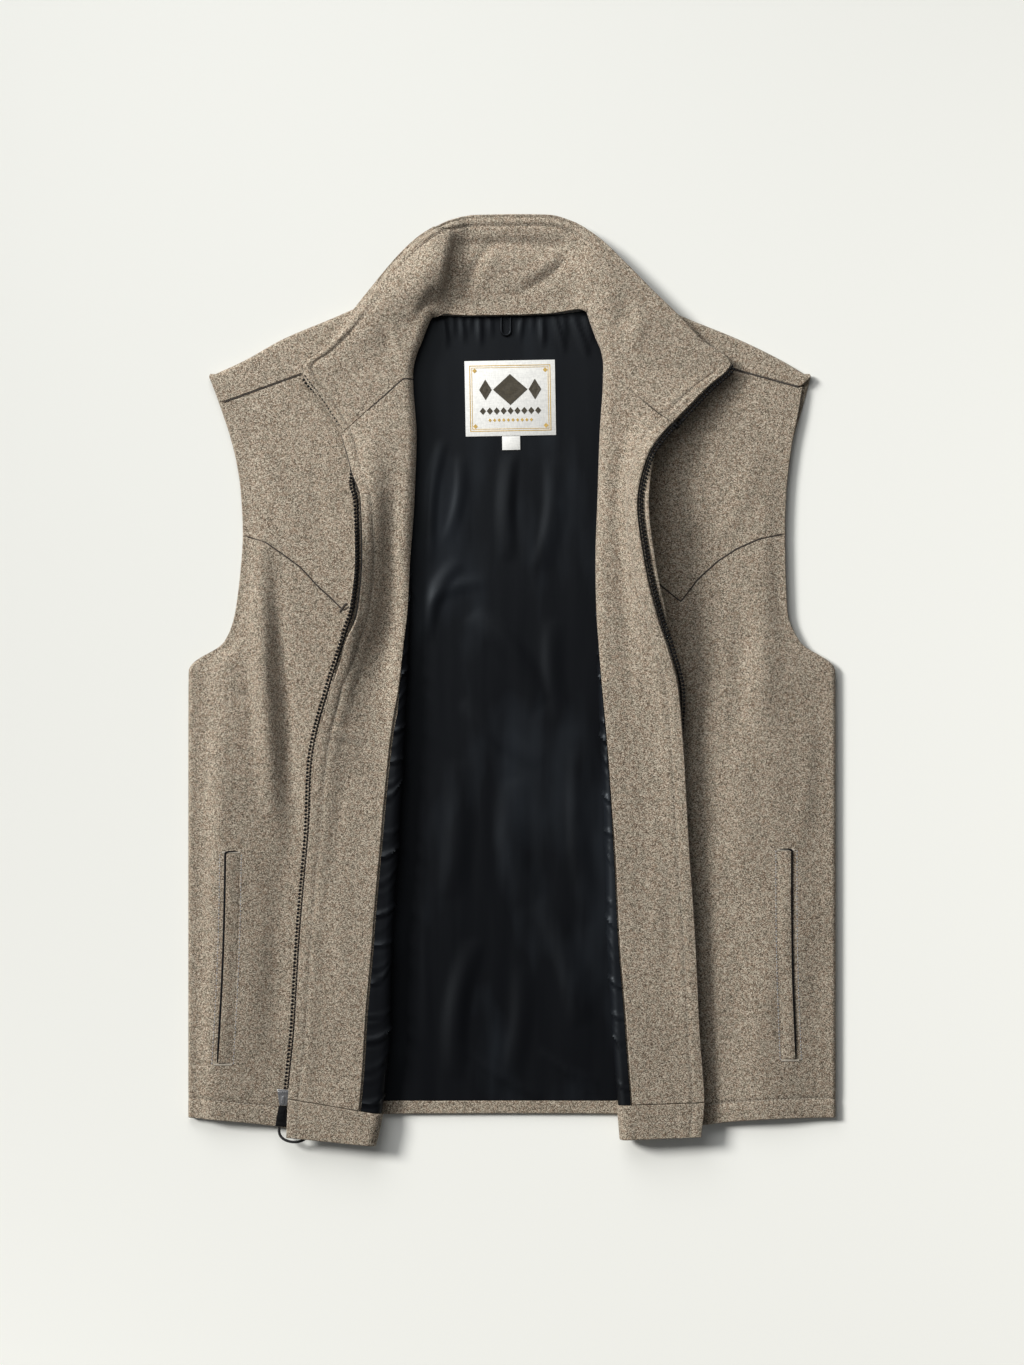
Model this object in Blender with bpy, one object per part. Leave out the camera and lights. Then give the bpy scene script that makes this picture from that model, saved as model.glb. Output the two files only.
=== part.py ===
"""Western vest laid open on its back, with both front edges folded back outward.

The frame is metres, +Z up, +Y toward the collar and +X to the viewer's right. All sizes below
are millimetres. The back lies on z = 0. Each front is one curved sheet whose sections run from
the side edge over the lower layer, round the fold and back out to the zip edge. Every piece
that lies on a sheet is that sheet's points moved along its normal.
"""
from math import cos, hypot, pi, radians, sin
from types import SimpleNamespace

import bmesh
import bpy
from mathutils import Matrix, Vector

MM = 0.001

# Cloth thicknesses and gaps
WOOL = 2.2
HALF_WOOL = WOOL / 2
COLLAR_CLOTH = 2.0
FACING = 2.0
LINING = 0.8
TAPE = 0.6
SEAM_GAP = 0.3
LAYER_GAP = 0.8

# Levels of the laid-out layers
BACK_FOLD = 3.7
LINING_LOW = WOOL + SEAM_GAP
LINING_HIGH = LINING_LOW + LINING
FRONT_LEVEL = 2 * BACK_FOLD - HALF_WOOL
SIDE_CURL = (BACK_FOLD - HALF_WOOL) * pi / 2

# Distances from the wool's middle surface, on the side that is the garment's inside
SKIN_LOW = HALF_WOOL + LAYER_GAP
TAPE_LOW = HALF_WOOL + 0.6
OVER_TAPE_LOW = TAPE_LOW + TAPE + 0.7
ROLL_SKIN = 3.0
COLLAR_LEAD = 2.0
VALLEY_LEAN = {"left": 0.65, "right": 1.0}

# Zip sizes
CHAIN_WIDTH = 4.6
CHAIN_HEIGHT = 2.8
CHAIN_STATION = -360.0
TAPE_STATION = -380.0
TAPE_WIDTH = 13.0
FACING_RISE_START = 7.0
FACING_RISE_END = 2.0

# The teeth that go on along each collar end: rows of the collar, distance past the collar's
# edge and height over the collar's middle surface
CHAIN_ON_COLLAR = (0.3, 1.0, 1.5, 1.9)
CHAIN_COLLAR_GAP = 0.7
CHAIN_COLLAR_HEIGHT = 2.4

# Back lining and the hem turned up below it, as places across the back and distances up it
LINING_ACROSS = 0.94
LINING_ROWS = (-285, -190, -95, 0, 60, 120, 180, 235)
LINING_SHOULDER_GAP = 6.0
LINING_NECK_GAP = 0.4
BACK_HEM_WIDTH = 10.6
BACK_HEM_THICKNESS = 1.8

# Front lining, as places on a front's section
FRONT_LINING_START = (0.84, 0.92)
FRONT_LINING_GAP = 0.02

# Outline of the garment's back
HEM_SIDE_Y = -380.0
HEM_CENTRE_Y = -377.0
SHOULDER_TIP_Y = 266.0
WRAP_END = SHOULDER_TIP_Y + 100.0
NECK_LEFT = -0.36
NECK_RIGHT = 0.345
SHOULDER_DRAW = 0.034
SIDE_END_BACK = 1.97
SIDE_END_FRONT = -0.96
NECK_EDGE_PLACE = 0.972
YOKE_GAP = 0.12

ARMHOLE_COLUMNS = ("station", "left", "right", "curl")
ARMHOLE = (
    (-380.0, 281.4, 281.4, 90),
    (-190.0, 281.4, 281.4, 90),
    (-20.0, 281.4, 281.4, 90),
    (7.5, 281.2, 281.2, 70),
    (20.0, 263.5, 260.5, 20),
    (34.0, 249.7, 250.0, 8),
    (51.0, 242.4, 240.6, 5),
    (80.0, 237.7, 238.1, 4),
    (110.0, 234.2, 237.5, 4),
    (140.0, 234.2, 237.5, 4),
    (174.0, 236.6, 239.3, 4),
    (208.0, 243.4, 243.8, 2),
    (244.0, 254.9, 253.8, 1),
    (266.0, 263.0, 259.5, 1),
)

# Top edge of the back: shoulder folds outside the neck, the neck's cut edge inside it
BACK_TOP_COLUMNS = ("station", "top")
BACK_TOP = (
    (-1.0, 266.0),
    (-0.90, 278.0),
    (-0.775, 296.0),
    (-0.618, 313.0),
    (-0.47, 329.0),
    (NECK_LEFT, 338.0),
    (-0.31, 326.0),
    (-0.27, 318.0),
    (-0.14, 316.0),
    (0.0, 316.7),
    (0.14, 318.0),
    (0.25, 321.6),
    (0.30, 327.0),
    (NECK_RIGHT, 338.0),
    (0.47, 328.0),
    (0.61, 313.0),
    (0.775, 296.0),
    (0.92, 278.0),
    (1.0, 266.0),
)

# Front sections: distances out from the centre line, and the y of each section's three ends
OUTLINE_COLUMNS = ("station", "side_x", "side_y", "fold_x", "fold_y", "edge_x", "edge_y")
OUTLINE = {
    "left": (
        (-396, 281.4, -380.2, 118.5, -403.0, 195.0, -396.0),
        (-368, 281.4, -352.0, 112.5, -375.0, 193.5, -362.6),
        (-305, 281.4, -300.0, 104.6, -305.0, 188.0, -305.0),
        (-222, 281.4, -220.0, 102.5, -222.0, 183.0, -222.0),
        (-140, 281.4, -140.0, 97.0, -140.0, 176.0, -140.0),
        (-60, 281.4, -60.0, 92.6, -60.0, 169.0, -60.0),
        (0, 281.2, 7.5, 90.5, -5.0, 155.8, -5.0),
        (35, 249.7, 34.0, 88.7, 30.0, 143.8, 33.0),
        (62, 240.4, 60.0, 87.5, 60.0, 135.2, 62.0),
        (100, 234.0, 124.4, 88.0, 100.0, 131.3, 104.0),
        (155, 235.8, 164.0, 85.3, 156.6, 131.5, 152.0),
        (198, 240.0, 192.0, 83.5, 210.0, 138.5, 182.0),
        (240, 243.5, 208.8, 86.5, 260.0, 147.0, 212.3),
        (262, 248.5, 225.0, 84.5, 281.0, 147.0, 212.3),
        (285, 254.0, 241.0, 77.6, 300.7, 147.0, 212.3),
    ),
    "right": (
        (-396, 281.4, -380.2, 94.0, -398.0, 163.3, -395.6),
        (-368, 281.4, -352.0, 91.5, -368.0, 166.2, -365.8),
        (-305, 281.4, -300.0, 86.6, -305.0, 162.3, -305.0),
        (-222, 281.4, -220.0, 82.0, -222.0, 158.4, -222.0),
        (-140, 281.4, -140.0, 80.0, -140.0, 153.0, -140.0),
        (-60, 281.4, -60.0, 77.0, -60.0, 148.7, -60.0),
        (0, 281.2, 7.5, 74.2, -5.0, 143.5, -5.0),
        (35, 250.0, 34.0, 73.4, 30.0, 134.5, 30.0),
        (62, 239.4, 62.0, 73.0, 60.0, 125.3, 60.0),
        (100, 237.5, 126.2, 73.0, 100.0, 116.3, 102.0),
        (155, 238.8, 164.0, 74.8, 156.0, 110.5, 152.0),
        (198, 241.8, 193.0, 76.7, 212.0, 119.0, 193.0),
        (240, 244.3, 210.0, 79.6, 262.0, 138.3, 220.1),
        (262, 249.0, 232.0, 79.2, 281.0, 138.3, 220.1),
        (285, 252.5, 254.2, 73.3, 299.7, 138.3, 220.1),
    ),
}

# Heights along the same sections. curl is the side edge's turn in degrees, low the lower layer
# at the fold, roll the fold's radius, edge the zip edge's height and valley the dip before it.
# facing is where its inner edge lies on the section, and teeth and wool are how far the tooth
# line and the outer wool reach past the facing's edge. zip is the teeth's height on the wool.
FORM_COLUMNS = ("station", "curl", "low", "roll", "edge", "valley", "facing", "teeth", "zip", "wool")
FORM = {
    "left": (
        (-396, 90, 8.4, 4.2, 14.5, 0.0, 2.16, 0.3, 0.0, -2.7),
        (-368, 90, 8.4, 4.2, 14.5, 0.0, 2.17, 0.3, 0.0, -2.7),
        (-305, 90, 8.6, 4.3, 15.0, 0.5, 2.20, 0.3, 0.0, -2.7),
        (-222, 90, 8.7, 4.5, 15.0, 0.8, 2.14, 0.3, 0.0, -2.7),
        (-140, 90, 8.8, 4.6, 15.5, 1.0, 2.12, 0.3, 0.0, -2.7),
        (-60, 90, 8.8, 4.7, 20.0, 3.5, 2.07, 2.9, 0.0, 0.2),
        (0, 70, 8.8, 4.8, 25.0, 5.5, 1.97, 2.9, 3.4, 0.2),
        (35, 8, 8.8, 4.8, 29.0, 7.0, 1.88, 2.9, 3.4, 5.0),
        (62, 5, 8.8, 4.8, 31.0, 7.5, 1.76, 2.9, 3.4, 5.0),
        (100, 4, 8.8, 4.8, 30.0, 7.0, 1.62, 2.9, 3.4, 5.0),
        (155, 4, 8.8, 4.8, 25.0, 4.5, 1.50, 2.9, 3.4, 5.0),
        (198, 4, 8.7, 4.7, 18.5, 1.5, 1.50, 2.9, 3.4, 2.5),
        (240, 2, 8.6, 4.6, 14.5, 0.0, 1.50, 2.9, 3.4, 0.2),
        (262, 1, 8.2, 4.6, 14.5, 0.0, 1.50, 2.9, 3.4, 0.2),
        (285, 1, 7.3, 4.6, 14.5, 0.0, 1.50, 2.9, 3.4, 0.2),
    ),
    "right": (
        (-396, 90, 8.4, 4.2, 14.5, 0.0, 2.08, -3.0, 0.0, -6.0),
        (-368, 90, 8.4, 4.2, 14.5, 0.0, 2.08, -3.0, 0.0, -6.0),
        (-305, 90, 8.6, 4.3, 16.0, 0.5, 2.08, -3.0, 0.0, -6.0),
        (-222, 90, 8.7, 4.5, 17.0, 0.8, 2.05, -3.0, 0.0, -6.0),
        (-140, 90, 8.8, 4.6, 19.0, 1.0, 2.02, -3.0, 0.0, -6.0),
        (-60, 90, 8.8, 4.7, 21.5, 1.5, 1.92, -3.0, 0.0, -6.0),
        (0, 70, 8.8, 4.8, 24.0, 2.0, 1.82, 3.0, 0.0, 0.3),
        (35, 8, 8.8, 4.8, 27.5, 2.0, 1.72, 3.0, 3.4, 0.3),
        (62, 5, 8.8, 4.8, 31.0, 2.0, 1.62, 3.0, 3.4, 6.5),
        (100, 4, 8.8, 4.8, 33.0, 2.0, 1.53, 3.0, 3.4, 6.5),
        (155, 4, 8.8, 4.8, 34.0, 2.0, 1.50, 3.0, 3.4, 6.5),
        (198, 4, 8.7, 4.7, 30.0, 1.0, 1.50, 3.0, 3.4, 3.5),
        (240, 2, 8.6, 4.6, 25.0, 0.0, 1.50, 3.0, 3.4, 0.2),
        (262, 1, 8.2, 4.6, 25.0, 0.0, 1.50, 3.0, 3.4, 0.2),
        (285, 1, 7.3, 4.6, 25.0, 0.0, 1.50, 3.0, 3.4, 0.2),
    ),
}

# How far the yoke seam dips below a straight section, along the lower layer from side to fold
YOKE_STATION = 100.0
YOKE_FADE_LOW = 200.0
YOKE_FADE_HIGH = 140.0
YOKE_DIP = {
    "left": ((0.0, 0.0), (0.12, 2.2), (0.24, 10.3), (0.35, 18.7), (0.45, 31.0), (0.54, 40.0),
             (0.626, 49.0), (0.73, 36.6), (0.86, 16.0), (1.0, 0.0)),
    "right": ((0.0, 0.0), (0.13, 1.0), (0.25, 5.8), (0.36, 13.7), (0.47, 26.0), (0.57, 43.4),
              (0.70, 23.9), (0.80, 13.0), (0.90, 5.0), (1.0, 0.0)),
}
HEM_STATION = -396.0
HEM_SEAM_STATION = -368.0
HEM_BOW = {"left": 3.6, "right": 5.5}
HEM_BOW_FADE = 90.0
COLLAR_STATION = 240.0
SHOULDER_STATION = 285.0

# Soft folds of the fronts' lower layer, from one end to the other, out from the centre line
FOLD_COLUMNS = ("x0", "y0", "x1", "y1", "half_width", "height")
FRONT_FOLDS = {
    "left": (
        (221.0, 112.0, 206.0, -120.0, 15.0, 5.0),
        (262.0, -40.0, 250.0, -150.0, 20.0, 2.0),
        (224.0, -215.0, 230.0, -330.0, 22.0, 1.2),
    ),
    "right": (
        (222.0, 96.0, 214.0, -60.0, 18.0, 3.0),
        (190.0, -40.0, 205.0, -190.0, 20.0, 2.2),
        (262.0, -180.0, 254.0, -300.0, 20.0, 1.8),
    ),
}

# Collar stations from the left zip edge round the neck to the right one. Each runs from the
# neck fold out to the collar's free edge. aim is the fold's direction in degrees, and turn is
# how much of a half circle the cloth makes there.
COLLAR_COLUMNS = ("station", "fold_x", "fold_y", "aim", "top_x", "top_y", "low", "roll", "turn",
                  "crest", "top_z")
COLLAR = (
    (0, -86.5, 260.4, 180, -147.3, 212.7, 8.6, 4.6, 0.93, 0.0, 14.5),
    (1, -86.8, 264.0, 180, -163.0, 238.0, 8.6, 4.6, 0.93, 0.5, 14.2),
    (2, -86.5, 268.0, 178, -182.7, 269.7, 8.6, 4.6, 0.93, 1.0, 13.5),
    (3, -85.5, 274.0, 174, -166.0, 285.0, 8.5, 4.6, 0.93, 1.5, 13.5),
    (4, -83.0, 283.0, 166, -143.0, 310.0, 8.2, 4.8, 0.93, 2.0, 13.5),
    (5, -78.5, 294.0, 158, -122.0, 337.0, 8.0, 5.0, 0.93, 3.0, 14.0),
    (6, -74.0, 306.0, 150, -99.0, 365.5, 7.6, 5.2, 0.93, 4.0, 15.0),
    (7, -71.0, 313.0, 135, -75.0, 385.5, 6.8, 5.2, 0.9, 5.0, 15.0),
    (8, -68.0, 317.0, 115, -54.0, 397.6, 5.6, 5.0, 0.6, 4.5, 14.0),
    (9, -52.0, 317.4, 95, -34.0, 403.0, 4.4, 1.2, 0.0, 1.5, 11.0),
    (10, -30.0, 317.0, 90, -16.0, 403.5, 4.0, 1.0, 0.0, 2.5, 11.0),
    (11, 0.0, 317.2, 90, 4.0, 403.7, 4.0, 1.0, 0.0, 3.0, 12.0),
    (12, 30.0, 318.6, 90, 30.0, 403.4, 4.0, 1.0, 0.0, 2.0, 12.0),
    (13, 54.0, 321.2, 84, 52.0, 397.8, 4.4, 1.6, 0.0, 3.0, 12.0),
    (14, 66.0, 321.0, 62, 74.0, 384.0, 5.6, 4.0, 0.5, 3.5, 13.0),
    (15, 69.0, 310.0, 38, 98.0, 361.3, 6.8, 4.6, 0.85, 3.5, 14.0),
    (16, 73.0, 297.0, 25, 120.0, 338.8, 7.8, 4.8, 0.93, 2.5, 14.5),
    (17, 78.0, 285.0, 15, 141.0, 318.4, 8.3, 4.8, 0.93, 2.0, 14.5),
    (18, 79.8, 275.0, 8, 165.0, 293.5, 8.5, 4.7, 0.93, 1.5, 14.0),
    (19, 80.0, 269.5, 3, 189.2, 273.4, 8.6, 4.6, 0.93, 1.0, 14.0),
    (20, 79.8, 265.8, 0, 166.0, 249.0, 8.6, 4.6, 0.93, 0.5, 20.0),
    (21, 79.6, 262.4, 0, 138.7, 220.6, 8.6, 4.6, 0.93, 0.0, 25.0),
)

# Pocket welts: the two ends of each one's middle line, out from the centre line
POCKET_COLUMNS = ("side", "top_x", "top_y", "bottom_x", "bottom_y")
POCKETS = (
    ("left", 242.6, -150.5, 249.6, -332.0),
    ("right", 236.8, -148.5, 240.6, -328.6),
)
WELT_WIDTH = 13.5
WELT_THICKNESS = 1.8
WELT_GAP = 0.5

# Neck label and the small tab under it
LABEL_CENTRE = (-1.5, 244.9)
LABEL_SIZE = (78.5, 65.5)
LABEL_TURN = 1.0
LABEL_THICKNESS = 0.7
TAB_SIZE = (15.6, 12.0)
TAB_OFFSET = 0.8

# Hanger loop
LOOP_DIAMETER = 2.2
LOOP_X = -5.2
LOOP_HALF_WIDTH = 4.0
LOOP_TOP_Y = 315.4
LOOP_BOTTOM_Y = 299.6

# Lower ends of the zip
SLIDER_CENTRE = (-196.9, -361.5, 13.8)
SLIDER_SIZE = (7.6, 13.8, 4.6)
BOX_CENTRE = (-199.0, -377.9, 13.2)
BOX_SIZE = (8.4, 18.0, 3.6)
PULL_DIAMETER = 2.4
PULL_POINTS = (
    (-201.6, -387.4, 12.6), (-201.8, -391.0, 12.0), (-201.0, -394.6, 10.9), (-198.6, -397.6, 10.4),
    (-194.8, -399.6, 10.2), (-190.2, -400.6, 10.2), (-185.4, -400.4, 10.2), (-181.0, -398.9, 10.2),
    (-177.4, -396.2, 10.2),
)
PIN_CENTRE = (162.0, -378.0, 14.6)
PIN_SIZE = (3.0, 20.0, 2.2)
ZIP_END_TURN = -3.0
SLIDER_BEVEL = 1.2
BOX_BEVEL = 0.8
PIN_BEVEL = 0.6
LABEL_BEVEL = 0.15

# The sheets' rows run along the garment and their columns across it
SIDE_PLACES = [SIDE_END_FRONT, SIDE_END_FRONT / 2]
RUN_SHARES = (0.12, 0.26, 0.42, 0.58, 0.72, 0.86, 1.0)
FRONT_ROWS = [HEM_STATION, -384, HEM_SEAM_STATION, -338, -305, -264, -222, -181, -140, -100, -60,
              -28, 0, 18, 35, 48, 62, 81, YOKE_STATION]
YOKE_ROWS = [YOKE_STATION, 127, 155, 172, 187, 201, 214, 227, COLLAR_STATION, 262, SHOULDER_STATION]
STRIP_ROWS = FRONT_ROWS[2:] + YOKE_ROWS[1:YOKE_ROWS.index(COLLAR_STATION) + 1]
FACING_STARTS = (0.0, 0.2, 0.4, 0.6, 0.8)
FACING_TURN_END = 2.2
FACING_FLAT = [2.3, 2.42]
FACING_RISES = [0, 0, 0, 0, 0, 0, 0, 0, 1, 1, 1]
LINING_ARC = (0.0, 0.17, 0.34, 0.5, 0.67, 0.84, 1.0)
SHOULDER_ROWS = (12.5, 25, 37.5, 50, 75, 100)
COLLAR_RUN = [1.2, 1.4, 1.6, 1.8, 2.0]
COLLAR_ROWS = (0, 0.5, 1, 1.5, 2, 2.5, 3, 4, 5, 6, 7, 7.5, 8, 8.25, 8.5, 8.75, 9, 10, 11, 12, 13,
               13.5, 14, 14.5, 15, 16, 17, 18, 18.5, 19, 19.5, 20, 20.5, 21)

# Steps between a surface's point and the points around it that give its normal
PLACE_STEP = 0.004
STATION_STEP = 0.5
COLLAR_STEP = 0.05

SIDES = {"left": -1, "right": 1}


class Sections:
    """A table whose columns are read between its rows along smooth curves without overshoot."""

    def __init__(self, columns, rows):
        self.names = columns[1:]
        self.knots = [row[0] for row in rows]
        self.values = list(zip(*[row[1:] for row in rows]))
        self.slopes = [self.knot_slopes(values) for values in self.values]
        self.cache = {}

    def knot_slopes(self, values):
        steps = [b - a for a, b in zip(self.knots, self.knots[1:])]
        rises = [(b - a) / step for a, b, step in zip(values, values[1:], steps)]
        slopes = [rises[0]]
        for before, after in zip(rises, rises[1:]):
            same_way = before * after > 0
            slopes.append(2 * before * after / (before + after) if same_way else 0.0)
        return slopes + [rises[-1]]

    def at(self, station):
        if station not in self.cache:
            self.cache[station] = self.read(station)
        return self.cache[station]

    def read(self, station):
        station = min(max(station, self.knots[0]), self.knots[-1])
        index = 0
        while index < len(self.knots) - 2 and station > self.knots[index + 1]:
            index += 1
        step = self.knots[index + 1] - self.knots[index]
        t = (station - self.knots[index]) / step
        found = {}
        for name, values, slopes in zip(self.names, self.values, self.slopes):
            rise = values[index + 1] - values[index]
            start = slopes[index] * step
            end = slopes[index + 1] * step
            bend = (start + end - 2 * rise) * t + 3 * rise - 2 * start - end
            found[name] = values[index] + start * t + bend * t * t
        return SimpleNamespace(**found)


ARMHOLE_SECTIONS = Sections(ARMHOLE_COLUMNS, ARMHOLE)
BACK_TOP_SECTIONS = Sections(BACK_TOP_COLUMNS, BACK_TOP)
COLLAR_SECTIONS = Sections(COLLAR_COLUMNS, COLLAR)
OUTLINE_SECTIONS = {side: Sections(OUTLINE_COLUMNS, OUTLINE[side]) for side in SIDES}
FORM_SECTIONS = {side: Sections(FORM_COLUMNS, FORM[side]) for side in SIDES}


def clamp(value):
    return min(max(value, 0.0), 1.0)


def ease(value):
    value = clamp(value)
    return value * value * (3 - 2 * value)


def mix(start, end, share):
    return start + (end - start) * share


def straight_between(points, value):
    """Read a list of (value, height) points along straight lines."""
    for (x0, y0), (x1, y1) in zip(points, points[1:]):
        if value <= x1:
            return mix(y0, y1, clamp((value - x0) / (x1 - x0)))
    return points[-1][1]


def evenly(start, end, count):
    return [mix(start, end, index / count) for index in range(count + 1)]


ROLL_PLACES = evenly(1.0, 2.0, 7)


def curl_offset(distance, length, degrees):
    """How far out and how far in a strip's point lies when the strip turns like an arc."""
    radius = length / radians(degrees)
    angle = distance / radius
    return radius * sin(angle), radius * (1 - cos(angle))


def fold_height(side, x, y):
    """Height that the soft folds add to the lower layer at one place."""
    total = 0.0
    for row in FRONT_FOLDS[side]:
        fold = SimpleNamespace(**dict(zip(FOLD_COLUMNS, row)))
        run = Vector((fold.x1 - fold.x0, fold.y1 - fold.y0))
        offset = Vector((x - fold.x0, y - fold.y0))
        along = offset.dot(run) / run.length_squared
        across = abs(offset.x * run.y - offset.y * run.x) / run.length
        if 0 < along < 1 and across < fold.half_width:
            total += fold.height * sin(pi * along) * cos(pi / 2 * across / fold.half_width) ** 2
    return total


def yoke_dip(side, share, station):
    if station <= YOKE_STATION:
        weight = ease(1 - (YOKE_STATION - station) / YOKE_FADE_LOW)
    else:
        weight = ease(1 - (station - YOKE_STATION) / YOKE_FADE_HIGH)
    return weight * straight_between(YOKE_DIP[side], share)


def front_point(side, place, station):
    """A point on the wool's middle surface of one front.

    place runs -1..0 round the side edge, 0..1 over the lower layer, 1..2 round the fold and
    2..3 out to the facing's edge. station runs from the hem to the shoulder seam.
    """
    outline = OUTLINE_SECTIONS[side].at(station)
    form = FORM_SECTIONS[side].at(station)
    curl_out, curl_down = curl_offset(SIDE_CURL, SIDE_CURL, form.curl)
    flat_x = outline.side_x - HALF_WOOL * form.curl / 90 - curl_out
    centre_x = outline.fold_x + ROLL_SKIN + form.roll
    if place < 0:
        out, down = curl_offset(-place * SIDE_CURL, SIDE_CURL, form.curl)
        return front_vector(side, flat_x + out, outline.side_y, FRONT_LEVEL - down)
    if place <= 1:
        x = mix(flat_x, centre_x, place)
        bow = HEM_BOW[side] * ease(1 - (station - HEM_STATION) / HEM_BOW_FADE) * sin(pi * place)
        y = mix(outline.side_y, outline.fold_y, place) + bow - yoke_dip(side, place, station)
        calm = ease(4 * place) * ease(4 - 4 * place)
        z = mix(FRONT_LEVEL, form.low, ease(place)) + calm * fold_height(side, x, y)
        return front_vector(side, x, y, z)
    if place <= 2:
        angle = pi * (place - 1.5)
        x = centre_x - form.roll * cos(angle)
        return front_vector(side, x, outline.fold_y, form.low + form.roll * (1 + sin(angle)))
    share = place - 2
    high = form.low + 2 * form.roll
    dip = form.valley * sin(pi * clamp(share) ** VALLEY_LEAN[side]) ** 2
    z = high + (form.edge - high) * share * share - dip
    x = mix(centre_x, outline.edge_x, share)
    return front_vector(side, x, mix(outline.fold_y, outline.edge_y, share), z)


def front_vector(side, x, y, z):
    return Vector((SIDES[side] * x, y, z))


def shoulder_seam_y(x):
    """Where the front's shoulder seam lies at a distance across the garment."""
    side = "left" if x < 0 else "right"
    outer = front_point(side, 0.0, SHOULDER_STATION)
    inner = front_point(side, 1.0, SHOULDER_STATION)
    return mix(outer.y, inner.y, max((x - outer.x) / (inner.x - outer.x), 0.0))


def run_length(side, station):
    """Distance from the fold's top to the facing's edge, seen from above."""
    outline = OUTLINE_SECTIONS[side].at(station)
    form = FORM_SECTIONS[side].at(station)
    centre_x = outline.fold_x + ROLL_SKIN + form.roll
    return hypot(outline.edge_x - centre_x, outline.edge_y - outline.fold_y)


def edge_place(side, station, out):
    """The place on a section that lies a distance past the facing's edge."""
    return 3 + out / run_length(side, station)


def back_point(across, station):
    """A point on the back's outer face, which rests on z = 0.

    across runs -1..1 between the sides and up to 2 round them. station runs up the side edge,
    and past the shoulder tip round the shoulder fold and down to the front's seam.
    """
    flat_station = min(station, SHOULDER_TIP_Y)
    sides = ARMHOLE_SECTIONS.at(flat_station)
    inner = min(max(across, -1.0), 1.0)
    top = BACK_TOP_SECTIONS.at(inner)
    half = sides.left if inner < 0 else sides.right
    curl_length = BACK_FOLD * pi / 2
    curl_out, _ = curl_offset(curl_length, curl_length, sides.curl)
    x = inner * (half - curl_out)
    out, rise = curl_offset((abs(across) - abs(inner)) * curl_length, curl_length, sides.curl)
    x += out if across > 0 else -out
    on_shoulder = inner <= NECK_LEFT or inner >= NECK_RIGHT
    flat_top = top.top - BACK_FOLD if on_shoulder else top.top
    bottom = mix(HEM_CENTRE_Y, HEM_SIDE_Y, inner * inner)
    share = (flat_station - HEM_SIDE_Y) / (SHOULDER_TIP_Y - HEM_SIDE_Y)
    if station <= SHOULDER_TIP_Y:
        return Vector((x, mix(bottom, flat_top, share), rise))
    wrap = (station - SHOULDER_TIP_Y) / (WRAP_END - SHOULDER_TIP_Y)
    if wrap <= 0.5:
        angle = pi * (2 * wrap - 0.5)
        return Vector((x, flat_top + BACK_FOLD * cos(angle), BACK_FOLD * (1 + sin(angle))))
    forward = 2 * wrap - 1
    seam_x = x * (1 - SHOULDER_DRAW * forward)
    seam_y = shoulder_seam_y(seam_x) + 2 * SEAM_GAP
    return Vector((seam_x, mix(flat_top, seam_y, forward), 2 * BACK_FOLD))


def collar_point(place, station):
    """A point on the outer collar's middle surface.

    place runs 0..1 round the neck fold and 1..2 out to the free edge. station is the row of
    the collar's table.
    """
    row = COLLAR_SECTIONS.at(station)
    aim = Vector((cos(radians(row.aim)), sin(radians(row.aim))))
    fold = Vector((row.fold_x, row.fold_y))
    start_angle = pi / 2 - pi * row.turn
    if place <= 1:
        angle = mix(start_angle, pi / 2, place)
        lead = row.roll * (1 - cos(angle)) - COLLAR_LEAD * (1 - row.turn) * (1 - place)
        spot = fold + aim * (ROLL_SKIN * row.turn + lead)
        return Vector((spot.x, spot.y, row.low + row.roll * (1 + sin(angle))))
    share = place - 1
    start = fold + aim * (ROLL_SKIN * row.turn + row.roll)
    top = Vector((row.top_x, row.top_y))
    spot = start.lerp(top, share)
    high = row.low + 2 * row.roll
    z = high + (row.top_z - high) * share * share + row.crest * sin(pi * clamp(share)) ** 2
    return Vector((spot.x, spot.y, z))


def sample(surface, u, v, u_step, v_step, u_range, v_range, turn=1):
    """A surface's point and its unit normal, found from points close around it."""
    u0, u1 = max(u - u_step, u_range[0]), min(u + u_step, u_range[1])
    v0, v1 = max(v - v_step, v_range[0]), min(v + v_step, v_range[1])
    across = surface(u1, v) - surface(u0, v)
    along = surface(u, v1) - surface(u, v0)
    return surface(u, v), across.cross(along).normalized() * turn


def front_samples(side, station, places):
    """Samples of one front section; their normals point to the garment's inside."""
    return [sample(lambda u, v: front_point(side, u, v), place, station, PLACE_STEP, STATION_STEP,
                   (-1, 4), (HEM_STATION, SHOULDER_STATION), SIDES[side]) for place in places]


def back_samples(station, acrosses):
    return [sample(back_point, across, station, PLACE_STEP, STATION_STEP, (-2, 2),
                   (HEM_SIDE_Y, WRAP_END)) for across in acrosses]


def collar_samples(station, places):
    return [sample(collar_point, place, station, PLACE_STEP, COLLAR_STEP, (0, 3),
                   (0, len(COLLAR) - 1), -1) for place in places]


def material(name, colour, roughness, metallic=0.0):
    made = bpy.data.materials.new(name)
    made.use_nodes = True
    shader = made.node_tree.nodes["Principled BSDF"]
    shader.inputs["Base Color"].default_value = (*colour, 1)
    shader.inputs["Roughness"].default_value = roughness
    shader.inputs["Metallic"].default_value = metallic
    return made


FINISHES = {
    "wool": ((0.30, 0.25, 0.20), 0.95, 0.0),
    "satin": ((0.015, 0.017, 0.022), 0.45, 0.0),
    "tape": ((0.02, 0.02, 0.02), 0.9, 0.0),
    "plastic": ((0.02, 0.02, 0.02), 0.4, 0.0),
    "silver": ((0.65, 0.65, 0.66), 0.3, 1.0),
    "label": ((0.78, 0.76, 0.70), 0.8, 0.0),
}


def add_object(name, mesh_data, finish):
    thing = bpy.data.objects.new(name, mesh_data)
    bpy.context.scene.collection.objects.link(thing)
    colour, roughness, metallic = FINISHES[finish]
    mesh_data.materials.append(material(f"{name}_{finish}", colour, roughness, metallic))
    return thing


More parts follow.
